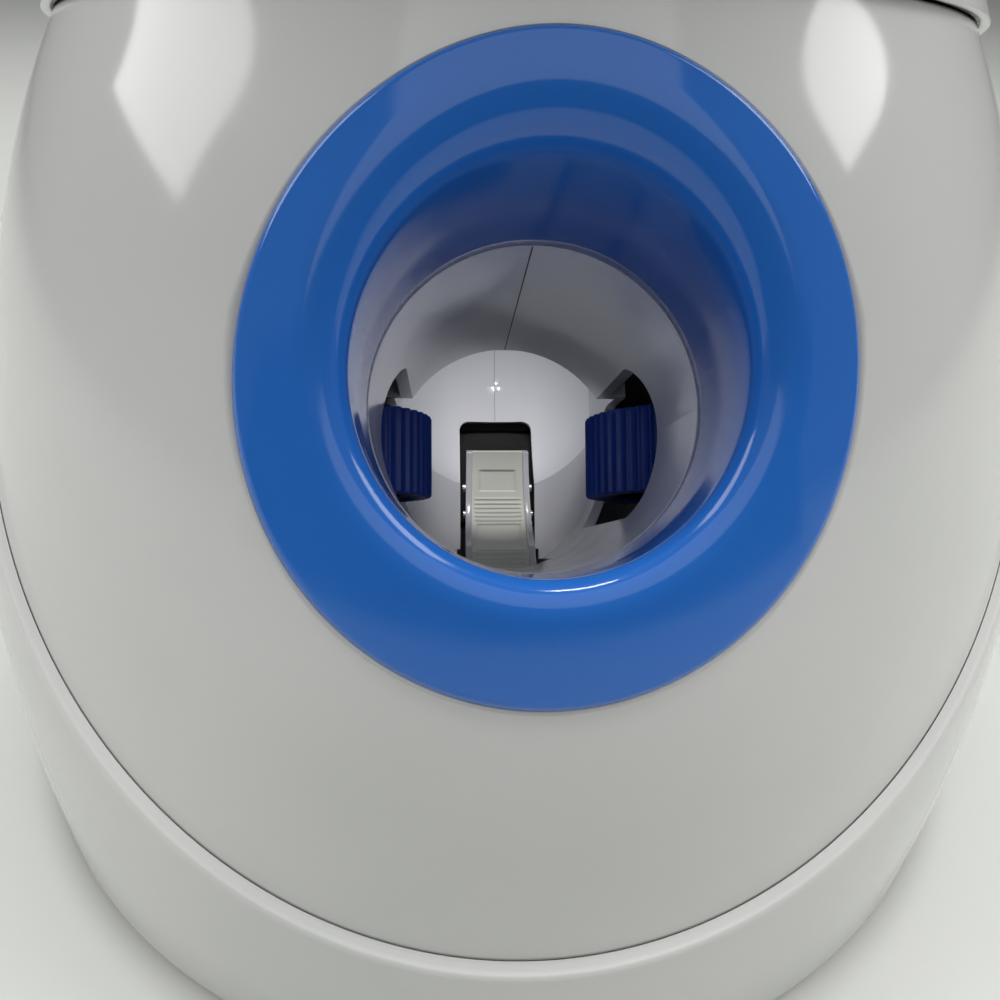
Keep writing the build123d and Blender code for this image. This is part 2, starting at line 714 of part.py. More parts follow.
def wheel_hub(side):
    height = TYRE_HEIGHT - 1
    outer = TYRE_INNER_R - RUNNING_FIT
    rim = Cylinder(outer, height) - Cylinder(outer - HUB_RIM, 2 * height)
    boss = Cylinder(HUB_BOSS_R, HUB_BOSS) + Cylinder(outer - HUB_RIM / 2, HUB_WEB)
    hub = rim + boss - Cylinder(WHEEL_SHAFT_R + RUNNING_FIT / 2, 2 * height)
    return BARREL * Pos(side * WHEEL_X, -WHEEL_LIFT, WHEEL_DEPTH) * Rot(90, 0, 0) * hub


def wheel_shaft(side):
    bottom = SHELF_TOP - SHELF_THICK - SHAFT_INSET
    top = WHEEL_LIFT + TYRE_HEIGHT / 2 - 1
    return across_barrel(WHEEL_SHAFT_R, side * WHEEL_X, WHEEL_DEPTH, bottom, top)


def flywheel_motor(side):
    top = SHELF_TOP - SHELF_THICK
    can = across_barrel(MOTOR_R, side * WHEEL_X, WHEEL_DEPTH, top - MOTOR_LENGTH, top)
    can = fillet(can.edges().filter_by(GeomType.CIRCLE), MOTOR_EDGE)
    low = top - MOTOR_LENGTH - MOTOR_CAP
    core = across_barrel(MOTOR_NOSE_R, side * WHEEL_X, WHEEL_DEPTH, low, top + MOTOR_NOSE)
    bore = across_barrel(WHEEL_SHAFT_R + RUNNING_FIT, side * WHEEL_X, WHEEL_DEPTH, top - SHAFT_INSET - 1, 0)
    motor = can + core - bore
    for place in motor_screw_places():
        motor -= place * screw_hole(2 * SHELF_THICK)
    return motor


# Feed drive


def tooth_points(count, tip, root, first, last):
    """A gear's outline: each tooth is a trapezium, narrower at its tip than at its root."""
    points = []
    pitch = 2 * math.pi / count
    for index in range(first, last):
        for share, radius in ((-ROOT_SHARE, root), (-TIP_SHARE, tip), (TIP_SHARE, tip), (ROOT_SHARE, root)):
            turn = (index + share) * pitch
            points.append((radius * math.cos(turn), radius * math.sin(turn)))
    return points


def feed_pinion():
    """The pinion and its shaft. A gap between two teeth faces the arm's sector."""
    tip = PINION_R + TOOTH_TIP * GEAR_MODULE
    root = PINION_R - TOOTH_ROOT * GEAR_MODULE
    outline = make_face(Polyline(*tooth_points(PINION_TEETH, tip, root, 0, PINION_TEETH), close=True))
    gear = extrude(outline, GEAR_WIDTH / 2, both=True)
    facing = MESH_ANGLE + 180 + 180 / PINION_TEETH
    placed = Plane((0, PINION_Y, PINION_Z), x_dir=(0, 1, 0), z_dir=(1, 0, 0)) * Rot(0, 0, facing) * gear
    shaft_end = CHASSIS_GAP / 2 + CHASSIS_WALL
    return placed + crosswise(PIVOT_R, -shaft_end, shaft_end + GEARBOX_WIDTH / 3, PINION_Y, PINION_Z)


def sector():
    """The toothed sector on the arm's hub. A tooth faces the pinion at rest."""
    tip = SECTOR_R + TOOTH_TIP * GEAR_MODULE
    root = SECTOR_R - TOOTH_ROOT * GEAR_MODULE
    arc = tooth_points(SECTOR_TEETH, tip, root, -SECTOR_BELOW, SECTOR_ABOVE)
    outline = make_face(Polyline((0, 0), *arc, close=True))
    gear = extrude(outline, GEAR_WIDTH / 2, both=True)
    return Plane((0, PIVOT_Y, PIVOT_Z), x_dir=(0, 1, 0), z_dir=(1, 0, 0)) * Rot(0, 0, MESH_ANGLE) * gear


def cradle_point(radius, angle):
    """A place round the staged ball's middle, as depth and lift in the side view."""
    turn = math.radians(angle)
    return STAGED_DEPTH + radius * math.cos(turn), radius * math.sin(turn)


def arc_band(inner, outer, start, end, width):
    """A curved band round the staged ball, between two radii and two angles in the side view."""
    middle = (start + end) / 2
    front = ThreePointArc(*[cradle_point(inner, angle) for angle in (start, middle, end)])
    back = ThreePointArc(*[cradle_point(outer, angle) for angle in (start, middle, end)])
    ends = [Line(front @ 0, back @ 0), Line(front @ 1, back @ 1)]
    return extrude(SIDE * make_face([front, back, *ends]), width / 2, both=True)


def pusher_arm():
    """The arm: a cradle behind the staged ball on a straight shank, the hub, and the toothed sector."""
    rails = arm_channel(RAIL_HEIGHT) & (arm_taper(0) - arm_taper(RAIL_WIDTH))
    cradle = (arm_channel(0) & arm_taper(0)) + rails
    for start, end in (UPPER_RECESS, LOWER_RECESS):
        cradle -= arc_band(CRADLE_R - RECESS_DEPTH, CRADLE_R + RECESS_DEPTH, start, end, ARM_TIP_WIDTH / 2)
    hub = crosswise(HUB_R, -CHASSIS_GAP / 2 + SIDE_PLAY, CHASSIS_GAP / 2 - SIDE_PLAY, PIVOT_Y, PIVOT_Z)
    arm = cradle + arm_web() + hub + sector()
    arm -= crosswise(PIVOT_R + RUNNING_FIT, -CHASSIS_GAP, CHASSIS_GAP, PIVOT_Y, PIVOT_Z)
    for place in cross_pin_places():
        arm -= crosswise(CROSS_PIN_R + RUNNING_FIT, -CHASSIS_GAP, CHASSIS_GAP, *place)
    return arm


def arm_channel(proud):
    """The curved cradle and the shank below it, with a front face that stands proud by a height."""
    outer = CRADLE_R + CRADLE_THICK
    cradle = arc_band(CRADLE_R - proud, outer, CRADLE_TOP_ANGLE, CRADLE_LOW_ANGLE, ARM_ROOT_WIDTH)
    top = [cradle_point(radius, CRADLE_LOW_ANGLE) for radius in (outer, CRADLE_R - proud)]
    back = STAGED_DEPTH - PIVOT_AHEAD + HUB_R
    foot = [(back - CRADLE_THICK - proud, -PIVOT_DROP), (back, -PIVOT_DROP)]
    shank = extrude(SIDE * make_face(Polyline(*top, *foot, close=True)), ARM_ROOT_WIDTH / 2, both=True)
    return cradle + shank


def arm_web():
    """The web that joins the cradle's back to the hub."""
    middle = CRADLE_R + CRADLE_THICK / 2
    top = [cradle_point(middle, angle) for angle in (CRADLE_LOW_ANGLE, WEB_BACK_ANGLE)]
    pivot = STAGED_DEPTH - PIVOT_AHEAD
    foot = [(pivot + HUB_R, -PIVOT_DROP), (pivot - HUB_R, -PIVOT_DROP)]
    return extrude(SIDE * make_face(Polyline(*top, *foot, close=True)), ARM_WEB / 2, both=True)


def arm_taper(inset):
    """The arm's sides: it widens from its tip to its root."""
    tip = ARM_TIP_WIDTH / 2 - inset
    root = ARM_ROOT_WIDTH / 2 - inset
    top = -BORE_R / 3
    outline = Polyline((-tip, top), (tip, top), (root, PIVOT_DROP), (-root, PIVOT_DROP), close=True)
    return extrude(BARREL * make_face(outline), 2 * CHAMBER_END)


def cross_pin_places():
    radius = CRADLE_R + CRADLE_THICK / 2
    return [side_point(*cradle_point(radius, angle)) for angle in CROSS_PIN_ANGLES]


def pusher_cross_pins():
    half = CROSS_PIN_LENGTH / 2
    return [crosswise(CROSS_PIN_R, -half, half, *place) for place in cross_pin_places()]


def pusher_pivot_pin():
    half = CHASSIS_GAP / 2 + CHASSIS_WALL
    pin = crosswise(PIVOT_R, -half, half, PIVOT_Y, PIVOT_Z)
    head = crosswise(PIVOT_R + PIN_HEAD, -half - PIN_HEAD, -half, PIVOT_Y, PIVOT_Z)
    return pin + head


def feed_gearbox():
    inner = CHASSIS_GAP / 2 + CHASSIS_WALL
    case = block(inner, inner + GEARBOX_WIDTH, PINION_Y - GEARBOX_LENGTH / 2, PINION_Y + GEARBOX_LENGTH / 2,
                 PINION_Z - GEARBOX_HEIGHT / 2, PINION_Z + GEARBOX_HEIGHT / 2)
    case = fillet(case.edges().filter_by(Axis.X), GEARBOX_CORNER)
    return case - crosswise(PIVOT_R + RUNNING_FIT, inner - 1, inner + GEARBOX_WIDTH / 2, PINION_Y, PINION_Z)


def feed_motor():
    x = CHASSIS_GAP / 2 + CHASSIS_WALL + GEARBOX_WIDTH / 2
    back = PINION_Y - GEARBOX_LENGTH / 2
    can = lengthwise(FEED_MOTOR_R, x, back - FEED_MOTOR_LENGTH, back, PINION_Z)
    return fillet(can.edges().filter_by(GeomType.CIRCLE).sort_by(Axis.Y)[:1], MOTOR_EDGE)


def home_switch():
    """The switch beside the sector's end, for the arm's place fully back."""
    inner = -CHASSIS_GAP / 2
    back = PIVOT_Y - PIN_HEAD - PIVOT_R
    top = PIVOT_Z - SECTOR_R + SWITCH_CLEAR
    case = block(inner, inner + SWITCH_WIDTH, back - SWITCH_LENGTH, back, top - SWITCH_HEIGHT, top)
    lever = block(inner + SWITCH_WIDTH / 3, -1, back - 2, back + LEVER_REACH, top - 2 * LEVER, top - LEVER)
    return case + lever


# Chassis


def chassis_plate(side):
    """A plate that stands on the base, carries the barrel's lugs and holds the pusher's pivot."""
    inner = side * CHASSIS_GAP / 2
    outer = side * (CHASSIS_GAP / 2 + CHASSIS_WALL)
    plate = block(inner, outer, CHASSIS_FRONT_Y, CHASSIS_BACK_Y, BASE_TOP, MOUTH_Z)
    under = Plane(MOUTH, x_dir=(1, 0, 0), z_dir=(0, SIN, COS))
    plate = plate & below(under, -SHELF_ROOT)
    plate -= along_barrel(BARREL_R + PART_FIT, 0, CHAMBER_END + BARREL_WALL + PART_FIT)
    foot = block(outer, outer + side * CHASSIS_FOOT, CHASSIS_FRONT_Y, CHASSIS_BACK_Y,
                 BASE_TOP, BASE_TOP + CHASSIS_WALL)
    plate += foot
    plate -= crosswise(PIVOT_R + RUNNING_FIT, -FAR, FAR, PIVOT_Y, PIVOT_Z)
    plate -= crosswise(PIVOT_R + RUNNING_FIT, -FAR, FAR, PINION_Y, PINION_Z)
    plate -= crosswise(CABLE_HOLE_R, -FAR, FAR, CABLE_HOLE_Y, CABLE_HOLE_Z)
    for place in lug_screw_places():
        plate -= place * screw_hole(3 * CHASSIS_WALL)
    for place in chassis_screw_places():
        plate -= place * screw_hole(3 * BASE_THICK)
    return plate


# Battery compartment


def battery_box():
    outer = door_opening(BOX_WALL, BASE_TOP, BASE_TOP + BOX_HEIGHT + BOX_WALL)
    outer = fillet(outer.edges().filter_by(Axis.Z), BOX_CORNER)
    return outer - door_opening(0, 0, BASE_TOP + BOX_HEIGHT)


def cell_rows():
    front = BOX_BACK_Y - BOX_WALL - BOX_DEPTH
    return [front + BOX_DEPTH * (index + 0.5) / CELLS_ACROSS for index in range(CELLS_ACROSS)]


def battery_contacts():
    """A sprung plate for each cell row at each end, with a button that meets the cell."""
    middle = BASE_TOP + BOX_HEIGHT / 2
    contacts = []
    for side in (-1, 1):
        wall = side * BOX_LENGTH / 2
        face = wall - side * CONTACT_THICK
        for y in cell_rows():
            plate = block(wall, face, y - CONTACT_WIDTH / 2, y + CONTACT_WIDTH / 2,
                          middle - CONTACT_WIDTH / 2, middle + CONTACT_WIDTH / 2)
            cone = Cone(CONTACT_CONE_R, CONTACT_TIP_R, CONTACT_PROUD)
            turned = Rot(0, -side * 90, 0) * cone
            contacts.append(plate + Pos(face - side * CONTACT_PROUD / 2, y, middle) * turned)
    return contacts


def battery_door():
    """The door in the base's underside, with a finger notch that the screw sits in."""
    margin = DOOR_REBATE - DOOR_GAP
    plate = door_opening(margin, BASE_BOTTOM, BASE_BOTTOM + DOOR_THICK)
    plate = fillet(plate.edges().filter_by(Axis.Z), DOOR_CORNER)
    for index in range(GRIP_COUNT):
        y = BOX_BACK_Y - GRIP_IN - GRIP_PITCH * index
        plate -= block(-GRIP_LENGTH / 2, GRIP_LENGTH / 2, y, y + GRIP_WIDTH,
                       BASE_BOTTOM - 1, BASE_BOTTOM + GRIP_DEPTH)
    hole = upright(SCREW_R + SCREW_FIT, 0, BOX_BACK_Y - DOOR_SCREW_IN, 0, BASE_TOP)
    return plate - hole - door_screw_recess()


def door_screw_recess():
    return upright(SCREW_HEAD_R + PART_FIT, 0, BOX_BACK_Y - DOOR_SCREW_IN, 0, BASE_BOTTOM + SCREW_HEAD)


def battery_door_screw():
    place = Pos(0, BOX_BACK_Y - DOOR_SCREW_IN, BASE_BOTTOM + SCREW_HEAD)
    return place * Rot(180, 0, 0) * screw(DOOR_THICK)


# Controls


def dome_radius(height):
    """The body form's radius at a height, read from its revolved outline."""
    cut = dome(0) & block(0, FAR, -0.5, 0.5, height - 0.01, height + 0.01)
    return cut.bounding_box().max.X


def control_panel():
    insert = skin(HOUSING_STEP, -PART_FIT) & panel_window(0)
    lip = skin(-PART_FIT, -PART_FIT - PANEL_LIP_THICK) & panel_window(PANEL_LIP)
    panel = insert + lip
    for side in (-1, 1):
        x = side * (PANEL_WIDTH / 2 - PANEL_POST_IN)
        panel += lengthwise(PANEL_POST_R, x, CONTROL_BOARD_Y + BOARD_THICK, PANEL_FACE - TONGUE, PANEL_Z)
    for x in button_places():
        panel -= lengthwise(BUTTON_R + BUTTON_GAP, x, BACK, FAR, PANEL_Z)
    for x in lens_places():
        panel -= lengthwise(LENS_R + SCREW_FIT, x, BACK, FAR, LENS_Z)
    return panel


def button_places():
    return -BUTTON_SPREAD, BUTTON_SPREAD


def lens_places():
    return [LENS_PITCH * (index - (LENS_COUNT - 1) / 2) for index in range(LENS_COUNT)]


def button(x):
    """A round key with a flange behind the panel. Its back stands clear of its switch by the travel."""
    back = CONTROL_BOARD_Y + BOARD_THICK + KEY_SWITCH + BUTTON_TRAVEL + PART_FIT
    cap = lengthwise(BUTTON_R, x, back, PANEL_FACE + BUTTON_PROUD, PANEL_Z)
    cap = fillet(cap.edges().filter_by(GeomType.CIRCLE).sort_by(Axis.Y)[-1:], BUTTON_EDGE)
    flange = lengthwise(BUTTON_FLANGE_R, x, back, back + BUTTON_FLANGE, PANEL_Z)
    return cap + flange


def indicator_lenses():
    back = CONTROL_BOARD_Y + BOARD_THICK
    return [lengthwise(LENS_R, x, back, dome_y(LENS_Z, x) + LENS_PROUD, LENS_Z) for x in lens_places()]


def dome_y(height, x):
    """How far back the housing's skin lies at a height and a place across."""
    return math.sqrt((dome_radius(height) + HOUSING_STEP) ** 2 - x ** 2)


def control_board():
    half = PANEL_WIDTH / 2 - 1
    return block(-half, half, CONTROL_BOARD_Y, CONTROL_BOARD_Y + BOARD_THICK,
                 PANEL_Z - PANEL_HEIGHT / 2, PANEL_Z + PANEL_HEIGHT / 2)


def key_switches():
    back = CONTROL_BOARD_Y + BOARD_THICK
    switch = Box(KEY_SWITCH_SIDE, KEY_SWITCH, KEY_SWITCH_SIDE)
    return [Pos(x, back + KEY_SWITCH / 2, PANEL_Z) * switch for x in button_places()]


def dc_socket():
    """The power socket, set square to the skirt: its bore holds the centre pin."""
    face = dome_y(PANEL_Z, 0) + SOCKET_PROUD
    body = lengthwise(SOCKET_R, 0, face - SOCKET_LENGTH, face, PANEL_Z)
    body -= lengthwise(SOCKET_BORE_R, 0, face - SOCKET_BORE_DEPTH, face + 1, PANEL_Z)
    body += lengthwise(SOCKET_PIN_R, 0, face - SOCKET_BORE_DEPTH - 1, face - 1, PANEL_Z)
    return Rot(0, 0, SOCKET_TURN) * body


PANEL_FACE = dome_y(PANEL_Z, BUTTON_SPREAD)


# Main board


def circuit_board():
    board = block(BOARD_X - BOARD_WIDTH / 2, BOARD_X + BOARD_WIDTH / 2,
                  BOARD_Y - BOARD_LENGTH / 2, BOARD_Y + BOARD_LENGTH / 2,
                  BASE_TOP + BOARD_POST, BASE_TOP + BOARD_POST + BOARD_THICK)
    for place in board_screw_places():
        board -= place * screw_hole(2 * BOARD_THICK)
    return board


def board_components():
    """Capacitors, driver chips, a relay and plug headers on the main board."""
    top = BASE_TOP + BOARD_POST + BOARD_THICK
    tall = top + TALL_COMPONENT
    inner = BOARD_X - BOARD_WIDTH / 4
    outer = BOARD_X + BOARD_WIDTH / 2 - 1
    parts = [upright(CAPACITOR_R, inner, BOARD_Y + row * RELAY_WIDTH, top, tall) for row in (-1, 1)]
    parts.append(block(inner, inner + RELAY_WIDTH, BOARD_Y - RELAY_LENGTH / 2,
                       BOARD_Y + RELAY_LENGTH / 2, top, tall))
    for row in (-1, 1):
        y = BOARD_Y + row * RELAY_WIDTH
        parts.append(block(BOARD_X, BOARD_X + CHIP_WIDTH, y - CHIP_LENGTH / 2, y + CHIP_LENGTH / 2,
                           top, top + CHIP_HEIGHT))
    for row in range(HEADER_COUNT):
        y = BOARD_Y + HEADER_PITCH * (row - (HEADER_COUNT - 1) / 2)
        parts.append(block(outer - HEADER_WIDTH, outer, y - HEADER_LENGTH / 2, y + HEADER_LENGTH / 2,
                           top, top + HEADER_WIDTH))
    return parts


def screws(places, length):
    return [place * screw(length) for place in places]


def save(name, *shapes):
    """Writes one node: a single solid, or a group of separate ones."""
    solids = [solid for shape in shapes for solid in shape.solids()]
    export_step(Compound(children=solids) if len(solids) > 1 else solids[0], f"parts/{name}.step")


def main():
    os.makedirs("parts", exist_ok=True)
    save("front_shell", front_shell())
    save("rear_housing", rear_housing())
    save("base_plate", base_plate())
    save("rubber_feet", *rubber_feet())
    save("mouth_ring", mouth_ring())
    save("hopper_collar", hopper_collar())
    save("hopper_funnel", hopper_funnel())
    save("pusher_arm", pusher_arm())
    save("pusher_cross_pins", *pusher_cross_pins())
    save("pusher_pivot_pin", pusher_pivot_pin())
    save("feed_pinion", feed_pinion())
    save("feed_gearbox", feed_gearbox())
    save("feed_motor", feed_motor())
    save("home_switch", home_switch())
    for name, side in (("left", -1), ("right", 1)):
        save(f"barrel_{name}", barrel_half(side))
        save(f"chassis_plate_{name}", chassis_plate(side))
        save(f"flywheel_tyre_{name}", tyre(side))
        save(f"flywheel_hub_{name}", wheel_hub(side))
        save(f"flywheel_shaft_{name}", wheel_shaft(side))
        save(f"flywheel_motor_{name}", flywheel_motor(side))
    save("ball_sensor_emitter", ball_sensor(-1))
    save("ball_sensor_receiver", ball_sensor(1))
    save("battery_box", battery_box())
    save("battery_contacts", *battery_contacts())
    save("battery_door", battery_door())
    save("battery_door_screw", battery_door_screw())
    save("control_panel", control_panel())
    save("control_board", control_board())
    save("key_switches", *key_switches())
    save("indicator_lenses", *indicator_lenses())
    for name, x in zip(("power_button", "distance_button"), button_places()):
        save(name, button(x))
    save("dc_socket", dc_socket())
    save("circuit_board", circuit_board())
    save("board_components", *board_components())
    save("housing_screws", *screws(housing_screw_places(), HOUSING_SCREW))
    save("chassis_screws", *screws(chassis_screw_places(), BASE_THICK + CHASSIS_WALL - SCREW_HEAD - 1))
    save("barrel_screws", *screws(lug_screw_places(), 2 * CHASSIS_WALL))
    save("motor_screws", *screws(motor_screw_places(), SHELF_THICK + 2))
    save("chute_screws", *screws(chute_screw_places(), 2 * CHUTE_FLANGE))
    save("board_screws", *screws(board_screw_places(), BOARD_THICK + BOARD_POST - 1))


main()
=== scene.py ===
"""Dresses the ball launcher: smooth skins over the moulded shells, detailed working pieces, finishes and
light. Lengths are in millimetres and angles in radians, unless a comment says otherwise."""

import json

import bpy
import numpy as np
from mathutils import Matrix, Vector

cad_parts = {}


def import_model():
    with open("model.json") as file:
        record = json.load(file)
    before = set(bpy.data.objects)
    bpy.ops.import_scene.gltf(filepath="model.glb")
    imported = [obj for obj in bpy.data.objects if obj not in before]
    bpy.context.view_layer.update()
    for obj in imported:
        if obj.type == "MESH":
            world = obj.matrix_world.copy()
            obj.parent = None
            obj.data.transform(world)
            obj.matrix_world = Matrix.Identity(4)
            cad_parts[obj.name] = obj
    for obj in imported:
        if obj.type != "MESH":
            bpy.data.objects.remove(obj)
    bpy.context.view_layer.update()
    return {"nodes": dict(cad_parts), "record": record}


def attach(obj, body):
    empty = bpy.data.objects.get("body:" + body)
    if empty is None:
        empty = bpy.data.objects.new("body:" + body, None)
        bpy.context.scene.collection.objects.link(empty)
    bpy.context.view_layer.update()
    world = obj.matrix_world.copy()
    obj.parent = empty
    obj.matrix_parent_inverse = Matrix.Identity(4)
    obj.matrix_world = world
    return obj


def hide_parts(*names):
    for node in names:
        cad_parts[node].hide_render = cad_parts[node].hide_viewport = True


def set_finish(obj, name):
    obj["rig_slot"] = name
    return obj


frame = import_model()
nodes = frame["nodes"]

MM = 0.001

# Body form: radius at each height, as the shells are moulded
DOME_PROFILE = ((127.9, 0.0), (129.3, 30.0), (125.7, 85.6), (111.0, 142.7), (95.5, 177.9), (84.0, 206.0))
DOME_START = (0.06, 1.0)
DOME_END = (0.0, 1.0)
NECK_Z = 206.0
SHELL_WALL = 2.5
HOUSING_STEP = 2.6
SKIRT_BOTTOM = 1.5
LEDGE_SLOPE = np.tan(np.radians(41.4))
LEDGE_FRONT = (-129.3, 41.4)
SEAM_SLOPE = -np.tan(np.radians(12.1))
SEAM_MID = (0.0, 178.6)

# How far the surfaces are looked for, and how often each search is halved
SEARCH_ABOVE_NECK = 10.0
SKIN_SEARCH = (-45.0, 60.0)
HALVINGS = 40

# Front shell: its lines fan out from a point below the mouth, where a radian of turn counts as a length
FAN_DROP = 4.0
FAN_SCALE = 90.0
SHELL_INSET = 0.4

# Rear housing, with the panel's window and the socket's hole; turns are measured from the back
EDGE_ROUND = 0.9
INNER_OFFSET = 0.1
PANEL_WIDTH = 64.0
PANEL_HEIGHT = 30.0
PANEL_Z = 62.0
PANEL_GAP = 0.2
SOCKET_TURN = np.radians(24.0)
SOCKET_HOLE_R = 6.7
SKIRT_RISE = 1.0
SKIRT_FOOT_OFFSETS = (0.6, HOUSING_STEP - 0.9, HOUSING_STEP - 0.25)
SKIRT_FOOT_HEIGHTS = (SKIRT_BOTTOM, SKIRT_BOTTOM, SKIRT_BOTTOM + 0.3)

# The housing's grid: shares of its height that lie on the window's and the hole's edges, the rows and
# columns between them, and where its lines come back to the plain wall
WALL_KNOTS = (0.2, 0.26, 0.34, 0.4)
WALL_HEIGHTS = (PANEL_Z - PANEL_HEIGHT / 2 - PANEL_GAP, PANEL_Z - SOCKET_HOLE_R, PANEL_Z + SOCKET_HOLE_R,
                PANEL_Z + PANEL_HEIGHT / 2 + PANEL_GAP)
WALL_ROWS = (14, 5, 8, 5, 34)
WALL_COLUMNS = (150, 28, 8, 8, 140)
PLAIN_TURN = np.radians(75)
BEND_TURN = np.radians(40)
FADE_TURN = np.radians(20.5)
PLAIN_HEIGHT = 120.0
BEND_HEIGHT = 35.0
WARP_REACH = 2.1

# Barrel axis, and the ring round its mouth
MOUTH = np.array((0.0, -107.5, 151.0))
TILT = np.radians(37.5)
INWARD = np.array((0.0, np.cos(TILT), -np.sin(TILT)))
UPWARD = np.array((0.0, np.sin(TILT), np.cos(TILT)))
ACROSS = np.array((1.0, 0.0, 0.0))
RING_R = 46.6
RING_DROP = 3.6
RING_GAP = 0.2
RING_PROUD = 1.0
RING_BORE_R = 29.8
RING_WALL = 2.6
RING_DEPTH = 36.2
RING_EDGE = 1.1
RING_EDGE_FOOT = 3.0
RING_BACK_SHARES = (1.0, 0.5, 0.2)
LIP_LOW = 7.0
LIP_HIGH = 9.0
LIP_LOW_DEPTH = 5.5
LIP_HIGH_DEPTH = 9.0
SLEEVE_TAPER = 12.0
SLEEVE_COVER = 0.05

# Hopper
RIM_R = 112.0
RIM_Z = 246.0
RIM_BAND = 3.0
COLLAR_WALL = 2.4
COLLAR_FOOT = 0.5
COLLAR_INSIDE = 0.2
LIP_LAP = 0.1

# The hopper's bowl: middle, radius and height of the circles that lead its curve, its flange and its spout
BOWL_CIRCLES = ((0.0, 101.0, 246.0), (16.8, 54.0, 216.0), (33.6, 29.2, 201.0))
BOWL_SPLIT = 0.62
BOWL_WALL = 2.5
CHUTE_TOP = 176.0
FLANGE_R = RIM_R - COLLAR_WALL - 0.3
FLANGE = ((0.0, FLANGE_R, RIM_Z), (0.0, FLANGE_R, RIM_Z + 1.8), (0.0, RIM_R - COLLAR_WALL - 0.8, RIM_Z + 2.3),
          (0.0, 103.2, RIM_Z + 2.3), (0.0, 101.9, RIM_Z + 1.7))
SPOUT = ((33.6, 29.2, 190.0), (33.6, 29.2, CHUTE_TOP), (33.6, 29.2 + BOWL_WALL, CHUTE_TOP))

# Barrel
BORE_R = 29.2
BARREL_FRONT = 36.5
THROAT_DEPTH = 118.0
SLOT_WIDTH = 22.8
SLOT_TOP = 17.5
ELBOW_R = 52.4
SEAM_TOP = 42.0
SEAM_WIDTH = 0.28
SEAM_RISE = 0.05
SEAM_SINK = 0.02
SEAM_FROM_RING = 0.2
SEAM_FROM_SLOT = 0.3

# The guard behind the slot: depths and lifts of its steps
GUARD_DEPTHS = (172.5, 182.0, 182.0, 173.0, 172.2, 172.2, 173.0, 180.0, 180.0)
GUARD_LIFTS = (SLOT_TOP + 2.5, SLOT_TOP + 2.5, 14.1, 14.1, 13.4, -14.0, -14.8, -14.8, -16.0)
GUARD_BESIDE = 1.5
GUARD_WALL = 1.2

# Flywheels
WHEEL_DEPTH = 102.0
WHEEL_X = 45.2
TYRE_R = 26.0
TYRE_INNER_R = 21.0
TYRE_HEIGHT = 19.8
WHEEL_LIFT = -1.5
TYRE_RIBS = 52
GROOVE_DEPTH = 0.9
RIB_POINTS = 12
TYRE_CORNER = 0.7
RIB_SHARPNESS = 2.6
RIM_STEP = 1.2

# Pusher: the arm's cradle round the staged ball, with angles in degrees from straight back, upwards.
# The recesses and rib zones are places along the arm's face from its tip, and a recess has a half width
STAGED_DEPTH = 130.0
CRADLE_R = 28.0
CRADLE_THICK = 2.7
CRADLE_TOP = 13.5
CRADLE_LOW = -62.0
SHANK_FOOT = (132.3, -48.0)
TAPER_TOP = 9.73
TIP_HALF = 9.3
ROOT_HALF = 10.5
RAIL_TOP = 2.35
RAIL_WIDTH = 1.75
FACE_LIFT = 0.45
RIB_LIFT = 0.3
RAIL_ROUND = 0.5
LINER_COVER = 0.08
UPPER_RECESS = (5.6, 12.5, 5.4)
LOWER_RECESS = (23.7, 34.5, 6.3)
RECESS_DEPTH = 0.42
RIB_ZONES = ((13.9, 23.2), (35.4, 62.0))
RIB_PITCH = 1.5
RIB_STEEPNESS = 2.2
RIB_SOFT = 0.3
RECESS_SOFT = 0.4
ARM_SHOWN = 60.0

# Stage
FLOOR_HALF = 4000.0
CARD_HALF = 700.0
CARD_HEIGHT = 330.0
CARD_Y = -560.0
SKY_LIGHT = 0.22
SKY_SEEN = 0.78
CAMERA_PLACE = (-15.5, -222.9, 205.5)
CAMERA_YAW = -0.0691
CAMERA_PITCH = 0.5874
CAMERA_ROLL = 0.0353
CAMERA_LENS = 33.23
CAMERA_NEAR = 0.005


# Surfaces


def piece(name, vertices, faces, body, slot, smooth=True):
    """A mesh object from arrays of places in millimetres and quads."""
    mesh = bpy.data.meshes.new(name)
    mesh.from_pydata((np.asarray(vertices) * MM).tolist(), [], np.asarray(faces).tolist())
    mesh.validate()
    mesh.polygons.foreach_set("use_smooth", np.full(len(mesh.polygons), smooth))
    made = bpy.data.objects.new(name, mesh)
    bpy.context.scene.collection.objects.link(made)
    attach(made, body)
    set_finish(made, slot)
    return made


def grid_faces(rows, columns, wrap_rows=False, wrap_columns=False, flip=False):
    """Quads of a grid of places; a wrapped side joins its last line to its first."""
    row = np.arange(rows if wrap_rows else rows - 1)
    column = np.arange(columns if wrap_columns else columns - 1)
    r, c = np.meshgrid(row, column, indexing="ij")
    next_r = (r + 1) % rows
    next_c = (c + 1) % columns
    line, next_line = r * columns, next_r * columns
    quads = np.stack((line + c, line + next_c, next_line + next_c, next_line + c), -1).reshape(-1, 4)
    return quads[:, ::-1] if flip else quads


def grid_piece(name, places, body, slot, wrap_rows=False, wrap_columns=False, flip=False):
    """A piece whose places are a two-parameter grid, shaped rows by columns by 3."""
    rows, columns = places.shape[:2]
    faces = grid_faces(rows, columns, wrap_rows, wrap_columns, flip)
    return piece(name, places.reshape(-1, 3), faces, body, slot)


